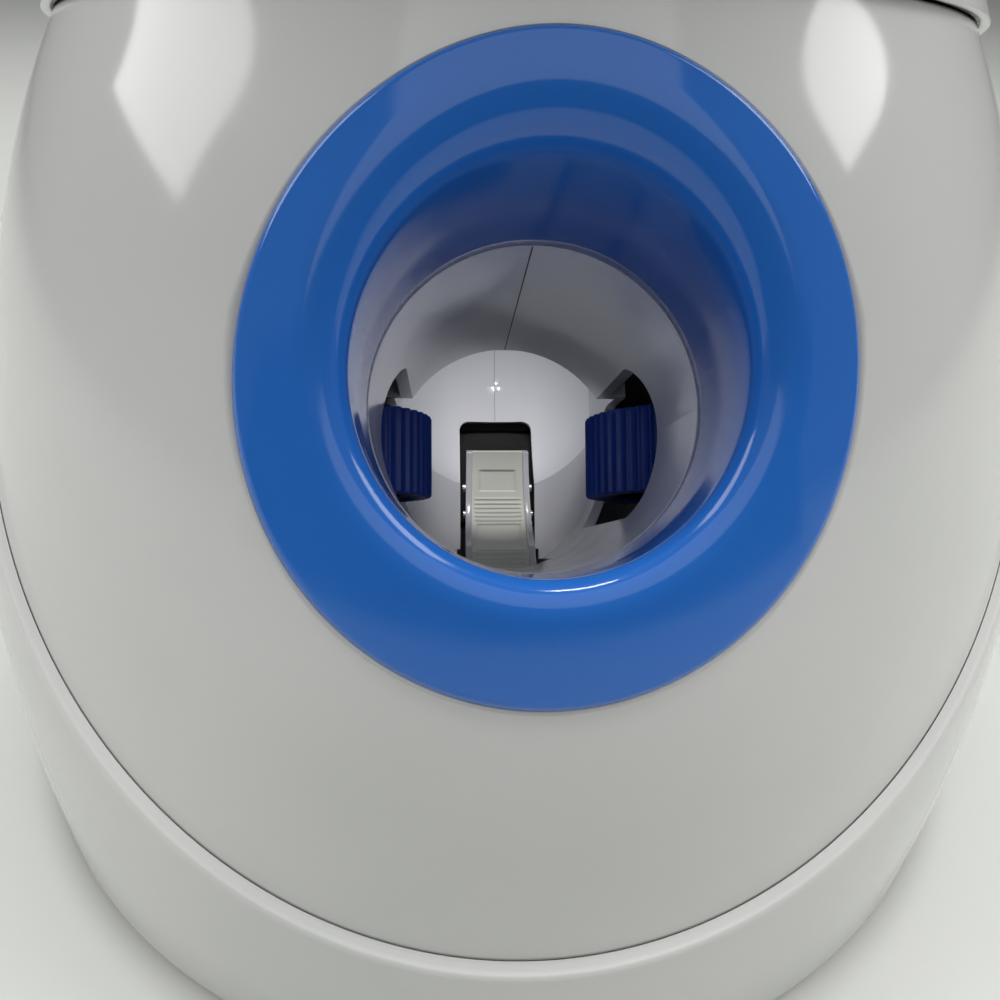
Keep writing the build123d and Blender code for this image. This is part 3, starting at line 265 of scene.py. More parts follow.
def spline(points, start, end, count=400):
    """A smooth curve through points: cubic spans on chord lengths, with the end tangents given."""
    points = np.array(points, float)
    step = np.linalg.norm(np.diff(points, axis=0), axis=1)
    knots = np.concatenate(((0.0,), np.cumsum(step)))
    size = len(points)
    matrix = np.zeros((size, size))
    right = np.zeros((size, 2))
    matrix[0, 0] = matrix[-1, -1] = 1.0
    right[0] = np.array(start) / np.linalg.norm(start)
    right[-1] = np.array(end) / np.linalg.norm(end)
    inner = np.arange(1, size - 1)
    before, after = step[inner - 1], step[inner]
    matrix[inner, inner - 1] = after
    matrix[inner, inner] = 2 * (before + after)
    matrix[inner, inner + 1] = before
    rise_before = (points[inner] - points[inner - 1]) / before[:, None]
    rise_after = (points[inner + 1] - points[inner]) / after[:, None]
    right[inner] = 3 * (rise_before * after[:, None] + rise_after * before[:, None])
    slopes = np.linalg.solve(matrix, right)
    at = np.linspace(0, knots[-1], count)
    span = np.clip(np.searchsorted(knots, at, side="right") - 1, 0, size - 2)
    h = step[span][:, None]
    t = ((at - knots[span]) / step[span])[:, None]
    return ((2 * t**3 - 3 * t**2 + 1) * points[span] + (t**3 - 2 * t**2 + t) * h * slopes[span]
            + (-2 * t**3 + 3 * t**2) * points[span + 1] + (t**3 - t**2) * h * slopes[span + 1])


PROFILE = spline(DOME_PROFILE, DOME_START, DOME_END)


def dome_radius(height):
    """The body form's radius at a height."""
    return np.interp(height, PROFILE[:, 1], PROFILE[:, 0])


def dome_place(turn, height, offset=0.0):
    """A place on the body: turn is measured from the front, towards +X."""
    radius = dome_radius(height) + offset
    height = np.broadcast_to(height, radius.shape)
    return np.stack((radius * np.sin(turn), -radius * np.cos(turn), height), -1)


def halve(low, high, below):
    """Narrows each interval to where the test changes from true to false, by halving it."""
    low = np.array(low, float)
    high = np.array(high, float)
    for _ in range(HALVINGS):
        middle = (low + high) / 2
        is_low = below(middle)
        low = np.where(is_low, middle, low)
        high = np.where(is_low, high, middle)
    return (low + high) / 2


def plane_height(turn, offset, slope, anchor):
    """The height at which the body's skin meets a plane that rises with y at a slope."""
    def below(height):
        y = -(dome_radius(height) + offset) * np.cos(turn)
        return height < anchor[1] + slope * (y - anchor[0])
    return halve(np.zeros_like(turn), np.full_like(turn, NECK_Z + SEARCH_ABOVE_NECK), below)


def ledge_height(turn, offset=0.0):
    """The height of the pale ledge's cut, at a turn from the front."""
    return plane_height(turn, offset, LEDGE_SLOPE, LEDGE_FRONT)


def seam_height(turn, offset=0.0):
    """The height of the seam under the hopper's collar, at a turn from the front."""
    return plane_height(turn, offset, SEAM_SLOPE, SEAM_MID)


def barrel_place(x, lift, depth):
    """A place given across, up and along the barrel."""
    x, lift, depth = np.broadcast_arrays(x, lift, depth)
    return MOUTH + x[..., None] * ACROSS + lift[..., None] * UPWARD + depth[..., None] * INWARD


def skin_depth(x, lift, offset):
    """How far along the barrel a line parallel to its axis meets the body's skin from outside."""
    def outside(depth):
        place = barrel_place(x, lift, depth)
        return np.hypot(place[..., 0], place[..., 1]) > dome_radius(place[..., 2]) + offset
    x, lift = np.broadcast_arrays(np.asarray(x, float), np.asarray(lift, float))
    near, far = SKIN_SEARCH
    return halve(np.full(x.shape, near), np.full(x.shape, far), outside)


# Shells


def front_shell():
    """The front shell: straight lines in turn and height run from the mouth's hole to the shell's edge."""
    tip = halve(np.array(1.0), np.array(np.pi - 0.01),
                lambda turn: ledge_height(turn) < seam_height(turn))
    sweep = tip * np.sin(np.linspace(-np.pi / 2, np.pi / 2, 260))
    edge_turn = np.concatenate((sweep, sweep[-2:0:-1]))
    edge_height = np.concatenate((ledge_height(sweep), seam_height(sweep[-2:0:-1])))
    around = np.linspace(0, 2 * np.pi, 721)
    x = (RING_R + RING_GAP) * np.cos(around)
    lift = (RING_R + RING_GAP) * np.sin(around) - RING_DROP
    hole = barrel_place(x, lift, skin_depth(x, lift, 0.0))
    hole_turn = np.arctan2(hole[:, 0], -hole[:, 1])
    hole_height = hole[:, 2]
    middle = MOUTH[2] - FAN_DROP
    edge_angle = np.arctan2(edge_height - middle, edge_turn * FAN_SCALE)
    hole_angle = np.unwrap(np.arctan2(hole_height - middle, hole_turn * FAN_SCALE))
    edge_at = hole_angle[0] + np.mod(edge_angle - hole_angle[0], 2 * np.pi)
    start_turn = np.interp(edge_at, hole_angle, hole_turn)
    start_height = np.interp(edge_at, hole_angle, hole_height)
    share = np.linspace(0, 1, 70)[:, None]
    turn = start_turn + (edge_turn - start_turn) * share
    height = start_height + (edge_height - start_height) * share
    places = dome_place(turn, height)
    shell = grid_piece("front_shell_skin", places, "housing", "white_gloss", wrap_columns=True, flip=True)
    wall = shell.modifiers.new("wall", "SOLIDIFY")
    wall.thickness = (SHELL_WALL - SHELL_INSET) * MM
    wall.offset = -1
    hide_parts("front_shell")
    return shell


def closed_profile_piece(name, radii, heights, turn, body, slot):
    """A closed profile carried round the Z axis: rows follow the profile and columns the turn."""
    places = np.stack((radii * np.sin(turn), -radii * np.cos(turn), heights), -1)
    return grid_piece(name, places, body, slot, wrap_rows=True, wrap_columns=True)


def warp_to_circle(across, up, radius):
    """Moves places near a square of half side `radius` onto the circle inside it, less and less outwards."""
    square = np.maximum(np.abs(across), np.abs(up))
    far = np.maximum(np.hypot(across, up), 1e-9)
    blend = np.clip((WARP_REACH * radius - square) / ((WARP_REACH - 1) * radius), 0, 1)
    scale = 1 + (square / far - 1) * blend
    return across * scale, up * scale


def rear_wall(turn, share, offset, top, low):
    """The housing's wall, pierced at the back: lines of the grid run along the edges of the panel's window
    and of the socket's round hole. Turn is measured from the back, towards +X."""
    near = np.clip((PLAIN_TURN - np.abs(turn)) / BEND_TURN, 0, 1)
    knots = np.array((0.0, *WALL_KNOTS, 1.0))
    plain = low + (top - low) * share
    at_back = np.array((low, *WALL_HEIGHTS))
    last_knot, last_height = WALL_KNOTS[-1], WALL_HEIGHTS[-1]
    above = last_height + (top - last_height) * (share - last_knot) / (1 - last_knot)
    snapped = np.where(share <= last_knot, np.interp(share, knots[:-1], at_back), above)
    height = plain + (snapped - plain) * near
    radius = dome_radius(height) + offset
    half = PANEL_WIDTH / 2 + PANEL_GAP
    edge = np.arcsin(half / (dome_radius(PANEL_Z) + HOUSING_STEP))
    level = np.clip((PLAIN_HEIGHT - height) / BEND_HEIGHT, 0, 1)
    straight = np.arcsin(half * np.clip(np.abs(turn) / edge, 0, 1) / radius)
    plain_edge = np.minimum(np.abs(turn), edge)
    fade = np.clip((FADE_TURN - np.abs(turn)) / (FADE_TURN - edge), 0, 1)
    turn = turn + np.sign(turn) * (straight - plain_edge) * fade * level
    across, up = warp_to_circle((turn - SOCKET_TURN) * radius, height - PANEL_Z, SOCKET_HOLE_R)
    turn = SOCKET_TURN + across / radius
    height = PANEL_Z + up
    radius = dome_radius(height) + offset
    return np.stack((radius * np.sin(turn), radius * np.cos(turn), height), -1)


def wall_turns():
    """Turns of the housing's grid lines, of which some lie exactly on the window's and the hole's edges,
    and the first and last of those lines for the window and for the hole."""
    mean = dome_radius(PANEL_Z) + HOUSING_STEP
    window = np.arcsin((PANEL_WIDTH / 2 + PANEL_GAP) / mean)
    hole = SOCKET_HOLE_R / mean
    stops = (-np.pi, -window, window, SOCKET_TURN - hole, SOCKET_TURN + hole, np.pi)
    spans = [np.linspace(start, end, count + 1)[:-1]
             for start, end, count in zip(stops, stops[1:], WALL_COLUMNS)]
    ends = np.cumsum(WALL_COLUMNS).tolist()
    return np.concatenate(spans), (ends[0], ends[1]), (ends[2], ends[3])


def rear_housing():
    """The rear housing: outer wall up to the cut edge, a small round, the flat edge, and the inner wall,
    with the control panel's window and the power socket's hole cut through both walls."""
    turns, window, hole = wall_turns()
    turn = turns[None, :]

    def top(offset):
        return np.minimum(ledge_height(np.pi - turn, offset), seam_height(np.pi - turn, offset))

    share = np.concatenate([np.linspace(start, end, count + 1)[:-1] for start, end, count in
                            zip((0.0, *WALL_KNOTS), (*WALL_KNOTS, 1.0), WALL_ROWS)] + [np.ones(1)])[:, None]
    rows = np.cumsum((0, *WALL_ROWS))
    outer = rear_wall(turn, share, HOUSING_STEP, top(HOUSING_STEP) - EDGE_ROUND, SKIRT_BOTTOM + SKIRT_RISE)
    inner = rear_wall(turn, share, INNER_OFFSET, top(INNER_OFFSET), SKIRT_BOTTOM)
    bend = np.linspace(0, np.pi / 2, 7)[1:, None]
    rim_offsets = HOUSING_STEP - EDGE_ROUND * (1 - np.cos(bend)) + 0 * turn
    outer_top = outer[-1:, :, 2]
    inner_edge = top(HOUSING_STEP - EDGE_ROUND)
    rim_heights = outer_top + (inner_edge - outer_top) * np.sin(bend)
    flat_offsets = np.linspace(HOUSING_STEP - EDGE_ROUND, INNER_OFFSET, 5)[1:-1, None] + 0 * turn
    flat_heights = np.concatenate([top(float(offset)) for offset in flat_offsets[:, 0]])
    foot_offsets = np.array(SKIRT_FOOT_OFFSETS)[:, None] + 0 * turn
    foot_heights = np.array(SKIRT_FOOT_HEIGHTS)[:, None] + 0 * turn

    def ring_rows(offsets, heights):
        radii = dome_radius(heights) + offsets
        return np.stack((radii * np.sin(turn), radii * np.cos(turn), heights), -1)

    rim = ring_rows(rim_offsets, rim_heights)
    flat = ring_rows(flat_offsets, flat_heights)
    foot = ring_rows(foot_offsets, foot_heights)
    places = np.concatenate((outer, rim, flat, inner[::-1], foot))
    count, columns = places.shape[:2]
    index = np.arange(count * columns).reshape(count, columns)
    inner_index = index[count - len(foot) - len(inner):count - len(foot)][::-1]
    faces = grid_faces(count, columns, True, True, flip=True).reshape(count, columns, 4)
    keep = np.ones((count, columns), bool)
    last = count - len(foot) - 1
    walls = []
    for (low, high), (left, right) in (((rows[1], rows[4]), window), ((rows[2], rows[3]), hole)):
        keep[low:high, left:right] = False
        keep[last - high:last - low, left:right] = False
        edge = (index[low, left:right + 1], index[low:high + 1, right], index[high, left:right + 1][::-1],
                index[low:high + 1, left][::-1])
        back = (inner_index[low, left:right + 1], inner_index[low:high + 1, right],
                inner_index[high, left:right + 1][::-1], inner_index[low:high + 1, left][::-1])
        for near, far in zip(edge, back):
            walls.append(np.stack((near[:-1], near[1:], far[1:], far[:-1]), -1))
    faces = np.concatenate((faces[keep], *walls))
    skin = piece("rear_housing_skin", places.reshape(-1, 3), faces, "housing", "white_gloss")
    skin.data.set_sharp_from_angle(angle=np.radians(40))
    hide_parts("rear_housing")
    return skin


def hopper_collar():
    """The collar: the body's line up to the waist, an arc out to the rim, a rolled lip, and the inner face
    back down."""
    turn = np.linspace(0, 2 * np.pi, 361)[:-1][None, :]
    base = seam_height(turn, HOUSING_STEP)
    waist = DOME_PROFILE[-1][0] + HOUSING_STEP
    reach = RIM_R - waist
    rise = RIM_Z - NECK_Z
    bend = (reach**2 + rise**2) / (2 * reach)
    share = np.linspace(0, 1, 30)[:, None]
    low_heights = base + COLLAR_FOOT + (NECK_Z - base - COLLAR_FOOT) * share
    low_radii = dome_radius(low_heights) + HOUSING_STEP
    arc_heights = np.linspace(NECK_Z, RIM_Z, 40)[1:, None] + 0 * turn
    arc_radii = waist + bend - np.sqrt(bend**2 - (arc_heights - NECK_Z) ** 2)
    lip = np.linspace(-LIP_LAP, np.pi + LIP_LAP, 13)[:, None] + 0 * turn
    lip_r = COLLAR_WALL / 2
    lip_radii = RIM_R - lip_r + lip_r * np.cos(lip)
    lip_heights = RIM_Z + RIM_BAND - lip_r + lip_r * np.sin(lip)
    back_heights = arc_heights[::-1]
    back_radii = arc_radii[::-1] - COLLAR_WALL
    end_heights = NECK_Z + (base - NECK_Z) * np.linspace(0, 1, 20)[1:, None]
    end_radii = dome_radius(end_heights) + COLLAR_INSIDE
    foot_heights = base + 0 * turn
    foot_radii = dome_radius(base) + HOUSING_STEP - COLLAR_FOOT
    heights = np.concatenate((low_heights, arc_heights, lip_heights, back_heights, end_heights, foot_heights))
    radii = np.concatenate((low_radii, arc_radii, lip_radii, back_radii, end_radii, foot_radii))
    collar = closed_profile_piece("hopper_collar_skin", radii, heights, turn, "housing", "white_gloss")
    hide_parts("hopper_collar")
    return collar


def hopper_bowl():
    """The bowl: circles whose middle, radius and height follow a curve through three circles, between a
    flange on the collar and a spout in the chute."""
    curve = spline_3d(BOWL_CIRCLES)
    turn = np.linspace(0, 2 * np.pi, 241)[:-1][None, :]
    outer = curve[::-1] + np.array((0.0, BOWL_WALL, -BOWL_WALL))
    rows = np.concatenate((np.array(FLANGE), curve, np.array(SPOUT), outer))
    middle, radius, height = rows[:, 0:1], rows[:, 1:2], rows[:, 2:3]
    places = np.stack((radius * np.sin(turn), middle - radius * np.cos(turn), height + 0 * turn), -1)
    bowl = grid_piece("hopper_bowl", places, "housing", "blue_gloss", wrap_rows=True, wrap_columns=True)
    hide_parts("hopper_funnel")
    return bowl


def spline_3d(circles):
    """The quadratic through three circles' middle, radius and height."""
    a, b, c = (np.array(circle) for circle in circles)
    t = np.linspace(0, 1, 40)[:, None]
    weight_a = (t - BOWL_SPLIT) * (t - 1) / BOWL_SPLIT
    weight_b = t * (t - 1) / (BOWL_SPLIT * (BOWL_SPLIT - 1))
    weight_c = t * (t - BOWL_SPLIT) / (1 - BOWL_SPLIT)
    return a * weight_a + b * weight_b + c * weight_c


def mouth_ring():
    """The ring: for each direction round the bore, a line up its edge, over its face on the body's skin,
    round a lip that is a quarter of an ellipse, and down the bore."""
    around = np.linspace(0, 2 * np.pi, 361)[:-1][None, :]
    reach = -RING_DROP * np.sin(around) + np.sqrt(RING_R**2 - (RING_DROP * np.cos(around)) ** 2)
    top = (1 + np.sin(around)) / 2
    lip_in = LIP_LOW + (LIP_HIGH - LIP_LOW) * top
    lip_down = LIP_LOW_DEPTH + (LIP_HIGH_DEPTH - LIP_LOW_DEPTH) * top
    edge = np.linspace(0, np.pi / 2, 9)[:, None]
    edge_radii = reach - RING_EDGE * (1 - np.cos(edge))
    edge_drop = RING_EDGE * (1 - np.sin(edge)) + 0 * around
    share = np.linspace(0, 1, 26)[1:-1, None]
    face_radii = (reach - RING_EDGE) + (RING_BORE_R + lip_in - reach + RING_EDGE) * share
    face_drop = 0 * face_radii
    roll = np.linspace(0, np.pi / 2, 22)[:, None]
    lip_radii = RING_BORE_R + lip_in * (1 - np.sin(roll))
    lip_drop = lip_down * (1 - np.cos(roll))
    radii = np.concatenate((edge_radii, face_radii, lip_radii))
    drop = np.concatenate((edge_drop, face_drop, lip_drop))
    skin = skin_depth(radii * np.cos(around), radii * np.sin(around), RING_PROUD)
    depths = skin + drop
    bore_depths = depths[-1:] + (RING_DEPTH - depths[-1:]) * np.linspace(0, 1, 14)[1:, None]
    narrowing = np.clip((bore_depths - RING_DEPTH + SLEEVE_TAPER) / SLEEVE_TAPER, 0, 1)
    bore_radii = RING_BORE_R - (RING_BORE_R - BORE_R - SLEEVE_COVER) * narrowing
    back_radii = np.full((len(RING_BACK_SHARES), 1), RING_BORE_R + RING_WALL) + 0 * around
    back_depths = depths[-1:] + (RING_DEPTH - depths[-1:]) * np.array(RING_BACK_SHARES)[:, None]
    under_radii = reach + 0 * around
    under_depths = depths[:1] + RING_EDGE_FOOT
    all_radii = np.concatenate((radii, bore_radii, back_radii, under_radii))
    all_depths = np.concatenate((depths, bore_depths, back_depths, under_depths))
    places = barrel_place(all_radii * np.cos(around), all_radii * np.sin(around), all_depths)
    ring = grid_piece("mouth_ring_skin", places, "housing", "blue_gloss", wrap_rows=True, wrap_columns=True)
    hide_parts("mouth_ring")
    return ring


# Working pieces


def side_name(side):
    """The side's word: left for -1 and right for 1."""
    return "left" if side < 0 else "right"


def tyre(side):
    """A ribbed tyre. Round the wheel the radius follows a power of a cosine, which leaves narrow rounded
    ribs and wide grooves; across it the profile is a straight tread with a quarter round at each rim."""
    turn = np.linspace(0, 2 * np.pi, TYRE_RIBS * RIB_POINTS + 1)[:-1][None, :]
    rib = (0.5 + 0.5 * np.cos(turn * TYRE_RIBS)) ** RIB_SHARPNESS
    half = TYRE_HEIGHT / 2
    bend = np.linspace(0, np.pi / 2, 5)[:, None]
    low_inset = TYRE_CORNER * (1 - np.sin(bend))
    low_height = -half + TYRE_CORNER * (1 - np.cos(bend))
    inset = np.concatenate((low_inset, low_inset[::-1]))
    height = np.concatenate((low_height, -low_height[::-1]))
    tread = TYRE_R - inset - GROOVE_DEPTH * (1 - rib)
    rim_edge = TYRE_R - GROOVE_DEPTH - RIM_STEP
    rim = np.array((rim_edge, TYRE_INNER_R, TYRE_INNER_R, rim_edge))
    rim_height = np.array((half, half, -half, -half))
    radii = np.concatenate((tread, rim[:, None] + 0 * turn))
    heights = np.concatenate((height + 0 * turn, rim_height[:, None] + 0 * turn))
    places = barrel_place(side * WHEEL_X + radii * np.cos(turn), heights + WHEEL_LIFT,
                          WHEEL_DEPTH + radii * np.sin(turn))
    made = grid_piece(f"flywheel_tyre_{side_name(side)}_ribbed", places, f"flywheel_{side_name(side)}",
                      "navy_rubber", wrap_rows=True, wrap_columns=True, flip=True)
    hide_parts(f"flywheel_tyre_{side_name(side)}")
    return made


def window_of(value, low, high, soft):
    """One between two limits and nothing outside them, with soft steps."""
    return np.clip((value - low) / soft, 0, 1) * np.clip((high - value) / soft, 0, 1)


def arm_place(run, x, radius):
    """A place on the arm. The run follows its face, first round the staged ball and then straight down
    the shank; the radius is the cradle's, and leans over to the barrel's axis along the shank."""
    low = np.radians(CRADLE_LOW)
    bend = CRADLE_R * (np.radians(CRADLE_TOP) - low)
    length = np.hypot(STAGED_DEPTH + CRADLE_R * np.cos(low) - SHANK_FOOT[0],
                      CRADLE_R * np.sin(low) - SHANK_FOOT[1])
    turn = np.radians(CRADLE_TOP) - np.minimum(run, bend) / CRADLE_R
    share = np.clip((run - bend) / length, 0, 1)
    rise = radius - CRADLE_R
    depth = (STAGED_DEPTH + CRADLE_R * np.cos(turn)) * (1 - share) + SHANK_FOOT[0] * share
    lift = CRADLE_R * np.sin(turn) * (1 - share) + SHANK_FOOT[1] * share
    widening = (TAPER_TOP - lift) / (TAPER_TOP - SHANK_FOOT[1])
    half = TIP_HALF + (ROOT_HALF - TIP_HALF) * widening + LINER_COVER
    across = x * half / TIP_HALF
    depth = depth + rise * (np.cos(turn) * (1 - share) + share)
    return barrel_place(across, lift + rise * np.sin(turn) * (1 - share), depth)


def pusher_face():
    """The arm's face between its rails: it rises in fine ridges across the arm and dips in two panels."""
    run = np.linspace(0.2, ARM_SHOWN, 560)[:, None]
    across = np.linspace(-1, 1, 41)[None, :]
    inner = TIP_HALF - RAIL_WIDTH / 2
    inside = inner * across
    ridges = np.zeros_like(run)
    for start, end in RIB_ZONES:
        wave = np.clip(np.cos(2 * np.pi * run / RIB_PITCH) * RIB_STEEPNESS, 0, 1)
        ridges = ridges + window_of(run, start, end, RIB_SOFT) * wave
    ridges = ridges * RIB_LIFT * window_of(inside, -inner + RAIL_WIDTH, inner - RAIL_WIDTH, RIB_SOFT)
    dips = 0
    for start, end, width in (UPPER_RECESS, LOWER_RECESS):
        dips = dips + window_of(run, start, end, RECESS_SOFT) * window_of(inside, -width, width, RECESS_SOFT)
    face = CRADLE_R - FACE_LIFT - ridges + RECESS_DEPTH * dips
    back = CRADLE_R + CRADLE_THICK / 2 + 0 * run
    x = np.concatenate((-inner + 0 * run, inside + 0 * run, inner + 0 * run), 1)
    radii = np.concatenate((back, face, back), 1)
    return grid_piece("pusher_face", arm_place(run, x, radii), "pusher", "ivory", wrap_columns=True)


def pusher_rail(side):
    """A rail along the arm's edge: a bar with a rounded crest, carried down the face."""
    run = np.linspace(-0.1, ARM_SHOWN, 200)[:, None]
    outer, inner = TIP_HALF, TIP_HALF - RAIL_WIDTH
    crest = CRADLE_R - RAIL_TOP
    back = CRADLE_R + CRADLE_THICK + LINER_COVER
    bend = np.linspace(0, np.pi / 2, 5)
    inset = RAIL_ROUND * (1 - np.cos(bend))
    round_x = np.concatenate((outer - inset, inner + inset[::-1]))
    round_radii = crest + RAIL_ROUND * (1 - np.sin(np.concatenate((bend, bend[::-1]))))
    x = np.concatenate(((outer,), round_x, (inner, inner)))
    radii = np.concatenate(((back,), round_radii, (CRADLE_R, back)))
    places = arm_place(run, side * x[None, :] + 0 * run, radii[None, :] + 0 * run)
    middle = places.mean(axis=1, keepdims=True)
    places = np.concatenate((middle[:1] + 0 * places[:1], places, middle[-1:] + 0 * places[-1:]))
    return grid_piece(f"pusher_rail_{side_name(side)}", places, "pusher", "barrel_white", wrap_columns=True,
                      flip=side < 0)


def strip(name, line, normal, width, body, slot):
    """A narrow bead with a half-round section, laid along a line on a surface."""
    line = np.asarray(line, float)
    run = np.gradient(line, axis=0)
    run /= np.linalg.norm(run, axis=1, keepdims=True)
    side = np.cross(run, normal)
    bend = np.linspace(0, np.pi, 7)[None, :, None]
    beside = side[:, None] * width / 2 * np.cos(bend)
    above = np.asarray(normal)[None, None] * SEAM_RISE * np.sin(bend)
    return grid_piece(name, line[:, None] + beside + above, body, slot, flip=True)


def barrel_seams():
    """The joint between the barrel's halves: a fine line along the top of the bore, and one on the round
    end wall, whose depth is a circle's about the throat's front edge."""
    depth = np.linspace(BARREL_FRONT + SEAM_FROM_RING, THROAT_DEPTH, 30)
    top = barrel_place(0 * depth, np.full(depth.shape, BORE_R - SEAM_SINK), depth)
    lift = np.linspace(SLOT_TOP + SEAM_FROM_SLOT, SEAM_TOP, 40)
    wall = THROAT_DEPTH + np.sqrt(ELBOW_R**2 - (lift - BORE_R) ** 2)
    end = barrel_place(0 * lift, lift, wall - SEAM_SINK)
    return [strip("barrel_seam_top", top, -UPWARD, SEAM_WIDTH, "housing", "black_plastic"),
            strip("barrel_seam_end", end, -INWARD, SEAM_WIDTH / 2, "housing", "grey_panel")]


def slot_guard():
    """The dark guard behind the pusher's slot: a stepped sheet carried across the slot's width."""
    depth = np.array(GUARD_DEPTHS)[:, None]
    lift = np.array(GUARD_LIFTS)[:, None]
    half = SLOT_WIDTH / 2 + GUARD_BESIDE
    places = barrel_place(np.linspace(-half, half, 9)[None, :], lift, depth)
    made = grid_piece("slot_guard", places, "housing", "black_plastic")
    wall = made.modifiers.new("wall", "SOLIDIFY")
    wall.thickness = GUARD_WALL * MM
    made.data.polygons.foreach_set("use_smooth", np.zeros(len(made.data.polygons), bool))
    return made


# Finishes


def srgb(red, green, blue):
    """A screen colour of 0 to 255 as the linear colour that a shader takes."""
    value = np.array((red, green, blue)) / 255
    linear = np.where(value <= 0.04045, value / 12.92, ((value + 0.055) / 1.055) ** 2.4)
    return (*linear.tolist(), 1.0)


class Finish:
    """A material made of nodes, with short calls to add and join them."""

    def __init__(self, name):
        self.material = bpy.data.materials.new(name)
        self.material.use_nodes = True
        self.tree = self.material.node_tree
        self.shader = self.tree.nodes["Principled BSDF"]
        self.place = self.add("ShaderNodeTexCoord").outputs["Object"]

    def add(self, kind, **settings):
        node = self.tree.nodes.new(kind)
        for key, value in settings.items():
            setattr(node, key, value)
        return node

    def join(self, source, target):
        self.tree.links.new(source, target)

    def noise(self, scale, detail=3.0, rough=0.5, stretch=None):
        """Noise of about `scale` cycles a metre, and stretched along the axes if asked."""
        node = self.add("ShaderNodeTexNoise")
        node.inputs["Scale"].default_value = scale
        node.inputs["Detail"].default_value = detail
        node.inputs["Roughness"].default_value = rough
        place = self.place
        if stretch:
            mapping = self.add("ShaderNodeMapping")
            mapping.inputs["Scale"].default_value = stretch
            self.join(self.place, mapping.inputs["Vector"])
            place = mapping.outputs["Vector"]
        self.join(place, node.inputs["Vector"])
        return node.outputs["Fac"]

    def spread(self, source, low, high, at=(0.3, 0.7)):
        """Maps a value between two stops onto a range."""
        node = self.add("ShaderNodeMapRange")
        node.inputs["From Min"].default_value = at[0]
        node.inputs["From Max"].default_value = at[1]
        node.inputs["To Min"].default_value = low
        node.inputs["To Max"].default_value = high
        self.join(source, node.inputs["Value"])
        return node.outputs["Result"]

    def tint(self, source, first, second, at=(0.35, 0.65)):
        """Mixes two colours by a value and puts the result on the shader."""
        node = self.add("ShaderNodeValToRGB")
        node.color_ramp.elements[0].position = at[0]
        node.color_ramp.elements[0].color = first
        node.color_ramp.elements[1].position = at[1]
        node.color_ramp.elements[1].color = second
        self.join(source, node.inputs["Fac"])
        self.join(node.outputs["Color"], self.shader.inputs["Base Color"])

    def rough(self, source, low, high, at=(0.3, 0.7)):
        self.join(self.spread(source, low, high, at), self.shader.inputs["Roughness"])

    def bump(self, source, height, strength=1.0):
        """Raises the surface by a value, to a height in metres."""
        node = self.add("ShaderNodeBump")
        node.inputs["Strength"].default_value = strength
        node.inputs["Distance"].default_value = height
        self.join(source, node.inputs["Height"])
        self.join(node.outputs["Normal"], self.shader.inputs["Normal"])

    def set(self, **values):
        for key, value in values.items():
            self.shader.inputs[key.replace("_", " ")].default_value = value


def moulded_gloss(name, first, second, low, high, ripple=0.00002):
    """Glossy moulded plastic: faint mottling, uneven polish and the slight ripple of a mould."""
    finish = Finish(name)
    finish.tint(finish.noise(14.0), first, second)
    finish.rough(finish.noise(55.0, 6.0, 0.6), low, high)
    finish.bump(finish.noise(30.0, 2.0), ripple, 0.6)
    finish.set(IOR=1.5)
    return finish.material


def satin(name, first, second, low, high, grain=900.0, height=0.00003):
    """Satin moulded plastic or rubber with a fine grain."""
    finish = Finish(name)
    finish.tint(finish.noise(40.0, 4.0), first, second)
    finish.rough(finish.noise(120.0, 4.0), low, high)
    finish.bump(finish.noise(grain, 2.0), height, 0.5)
    return finish.material


def metal(name, colour, low, high):
    """Plated or brushed steel with fine drawn lines."""
    finish = Finish(name)
    dark = tuple(value * 0.82 for value in colour[:3]) + (1.0,)
    finish.tint(finish.noise(90.0, 5.0), dark, colour)
    finish.rough(finish.noise(300.0, 4.0, 0.6, (1.0, 1.0, 12.0)), low, high)
    finish.bump(finish.noise(800.0, 2.0, 0.5, (1.0, 1.0, 10.0)), 0.00001, 0.4)
    finish.set(Metallic=1.0)
    return finish.material


def finishes():
    """One finish for each of the record's material slots."""
    return {
        "white_gloss": moulded_gloss("shell white", srgb(203, 204, 201), srgb(209, 209, 206), 0.07, 0.13),
        "barrel_white": moulded_gloss("barrel white", srgb(231, 231, 235), srgb(236, 236, 239), 0.12, 0.2),
        "blue_gloss": moulded_gloss("ring blue", srgb(36, 101, 187), srgb(40, 107, 195), 0.07, 0.14),
        "navy_rubber": satin("tyre navy rubber", srgb(18, 54, 142), srgb(24, 64, 160), 0.4, 0.55),
        "ivory": satin("arm ivory", srgb(235, 234, 222), srgb(241, 240, 230), 0.35, 0.5),
        "black_plastic": satin("black plastic", srgb(9, 9, 10), srgb(15, 15, 16), 0.45, 0.6),
        "grey_base": satin("base grey", srgb(186, 187, 187), srgb(198, 198, 198), 0.5, 0.65),
        "grey_panel": satin("panel grey", srgb(120, 124, 130), srgb(132, 136, 142), 0.35, 0.5),
        "button_blue": moulded_gloss("button blue", srgb(36, 98, 175), srgb(42, 106, 186), 0.15, 0.25),
        "lens": moulded_gloss("lens green", srgb(96, 190, 120), srgb(120, 210, 140), 0.08, 0.15),
        "steel": metal("zinc steel", srgb(196, 197, 200), 0.22, 0.4),
        "motor_can": metal("motor can", srgb(170, 171, 174), 0.28, 0.45),
        "foot_rubber": satin("foot rubber", srgb(34, 34, 35), srgb(44, 44, 45), 0.7, 0.85),
        "board_green": satin("board green", srgb(18, 92, 52), srgb(26, 108, 62), 0.3, 0.45),
    }


def dress(made):
    """Gives every node and piece the finish of its slot."""
    slots = {entry["node"]: entry["material_slot"] for entry in frame["record"]["subparts"]}
    materials = finishes()
    for name, node in nodes.items():
        node.data.materials.clear()
        node.data.materials.append(materials[slots[name]])
    for item in made:
        item.data.materials.append(materials[item["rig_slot"]])


# Stage


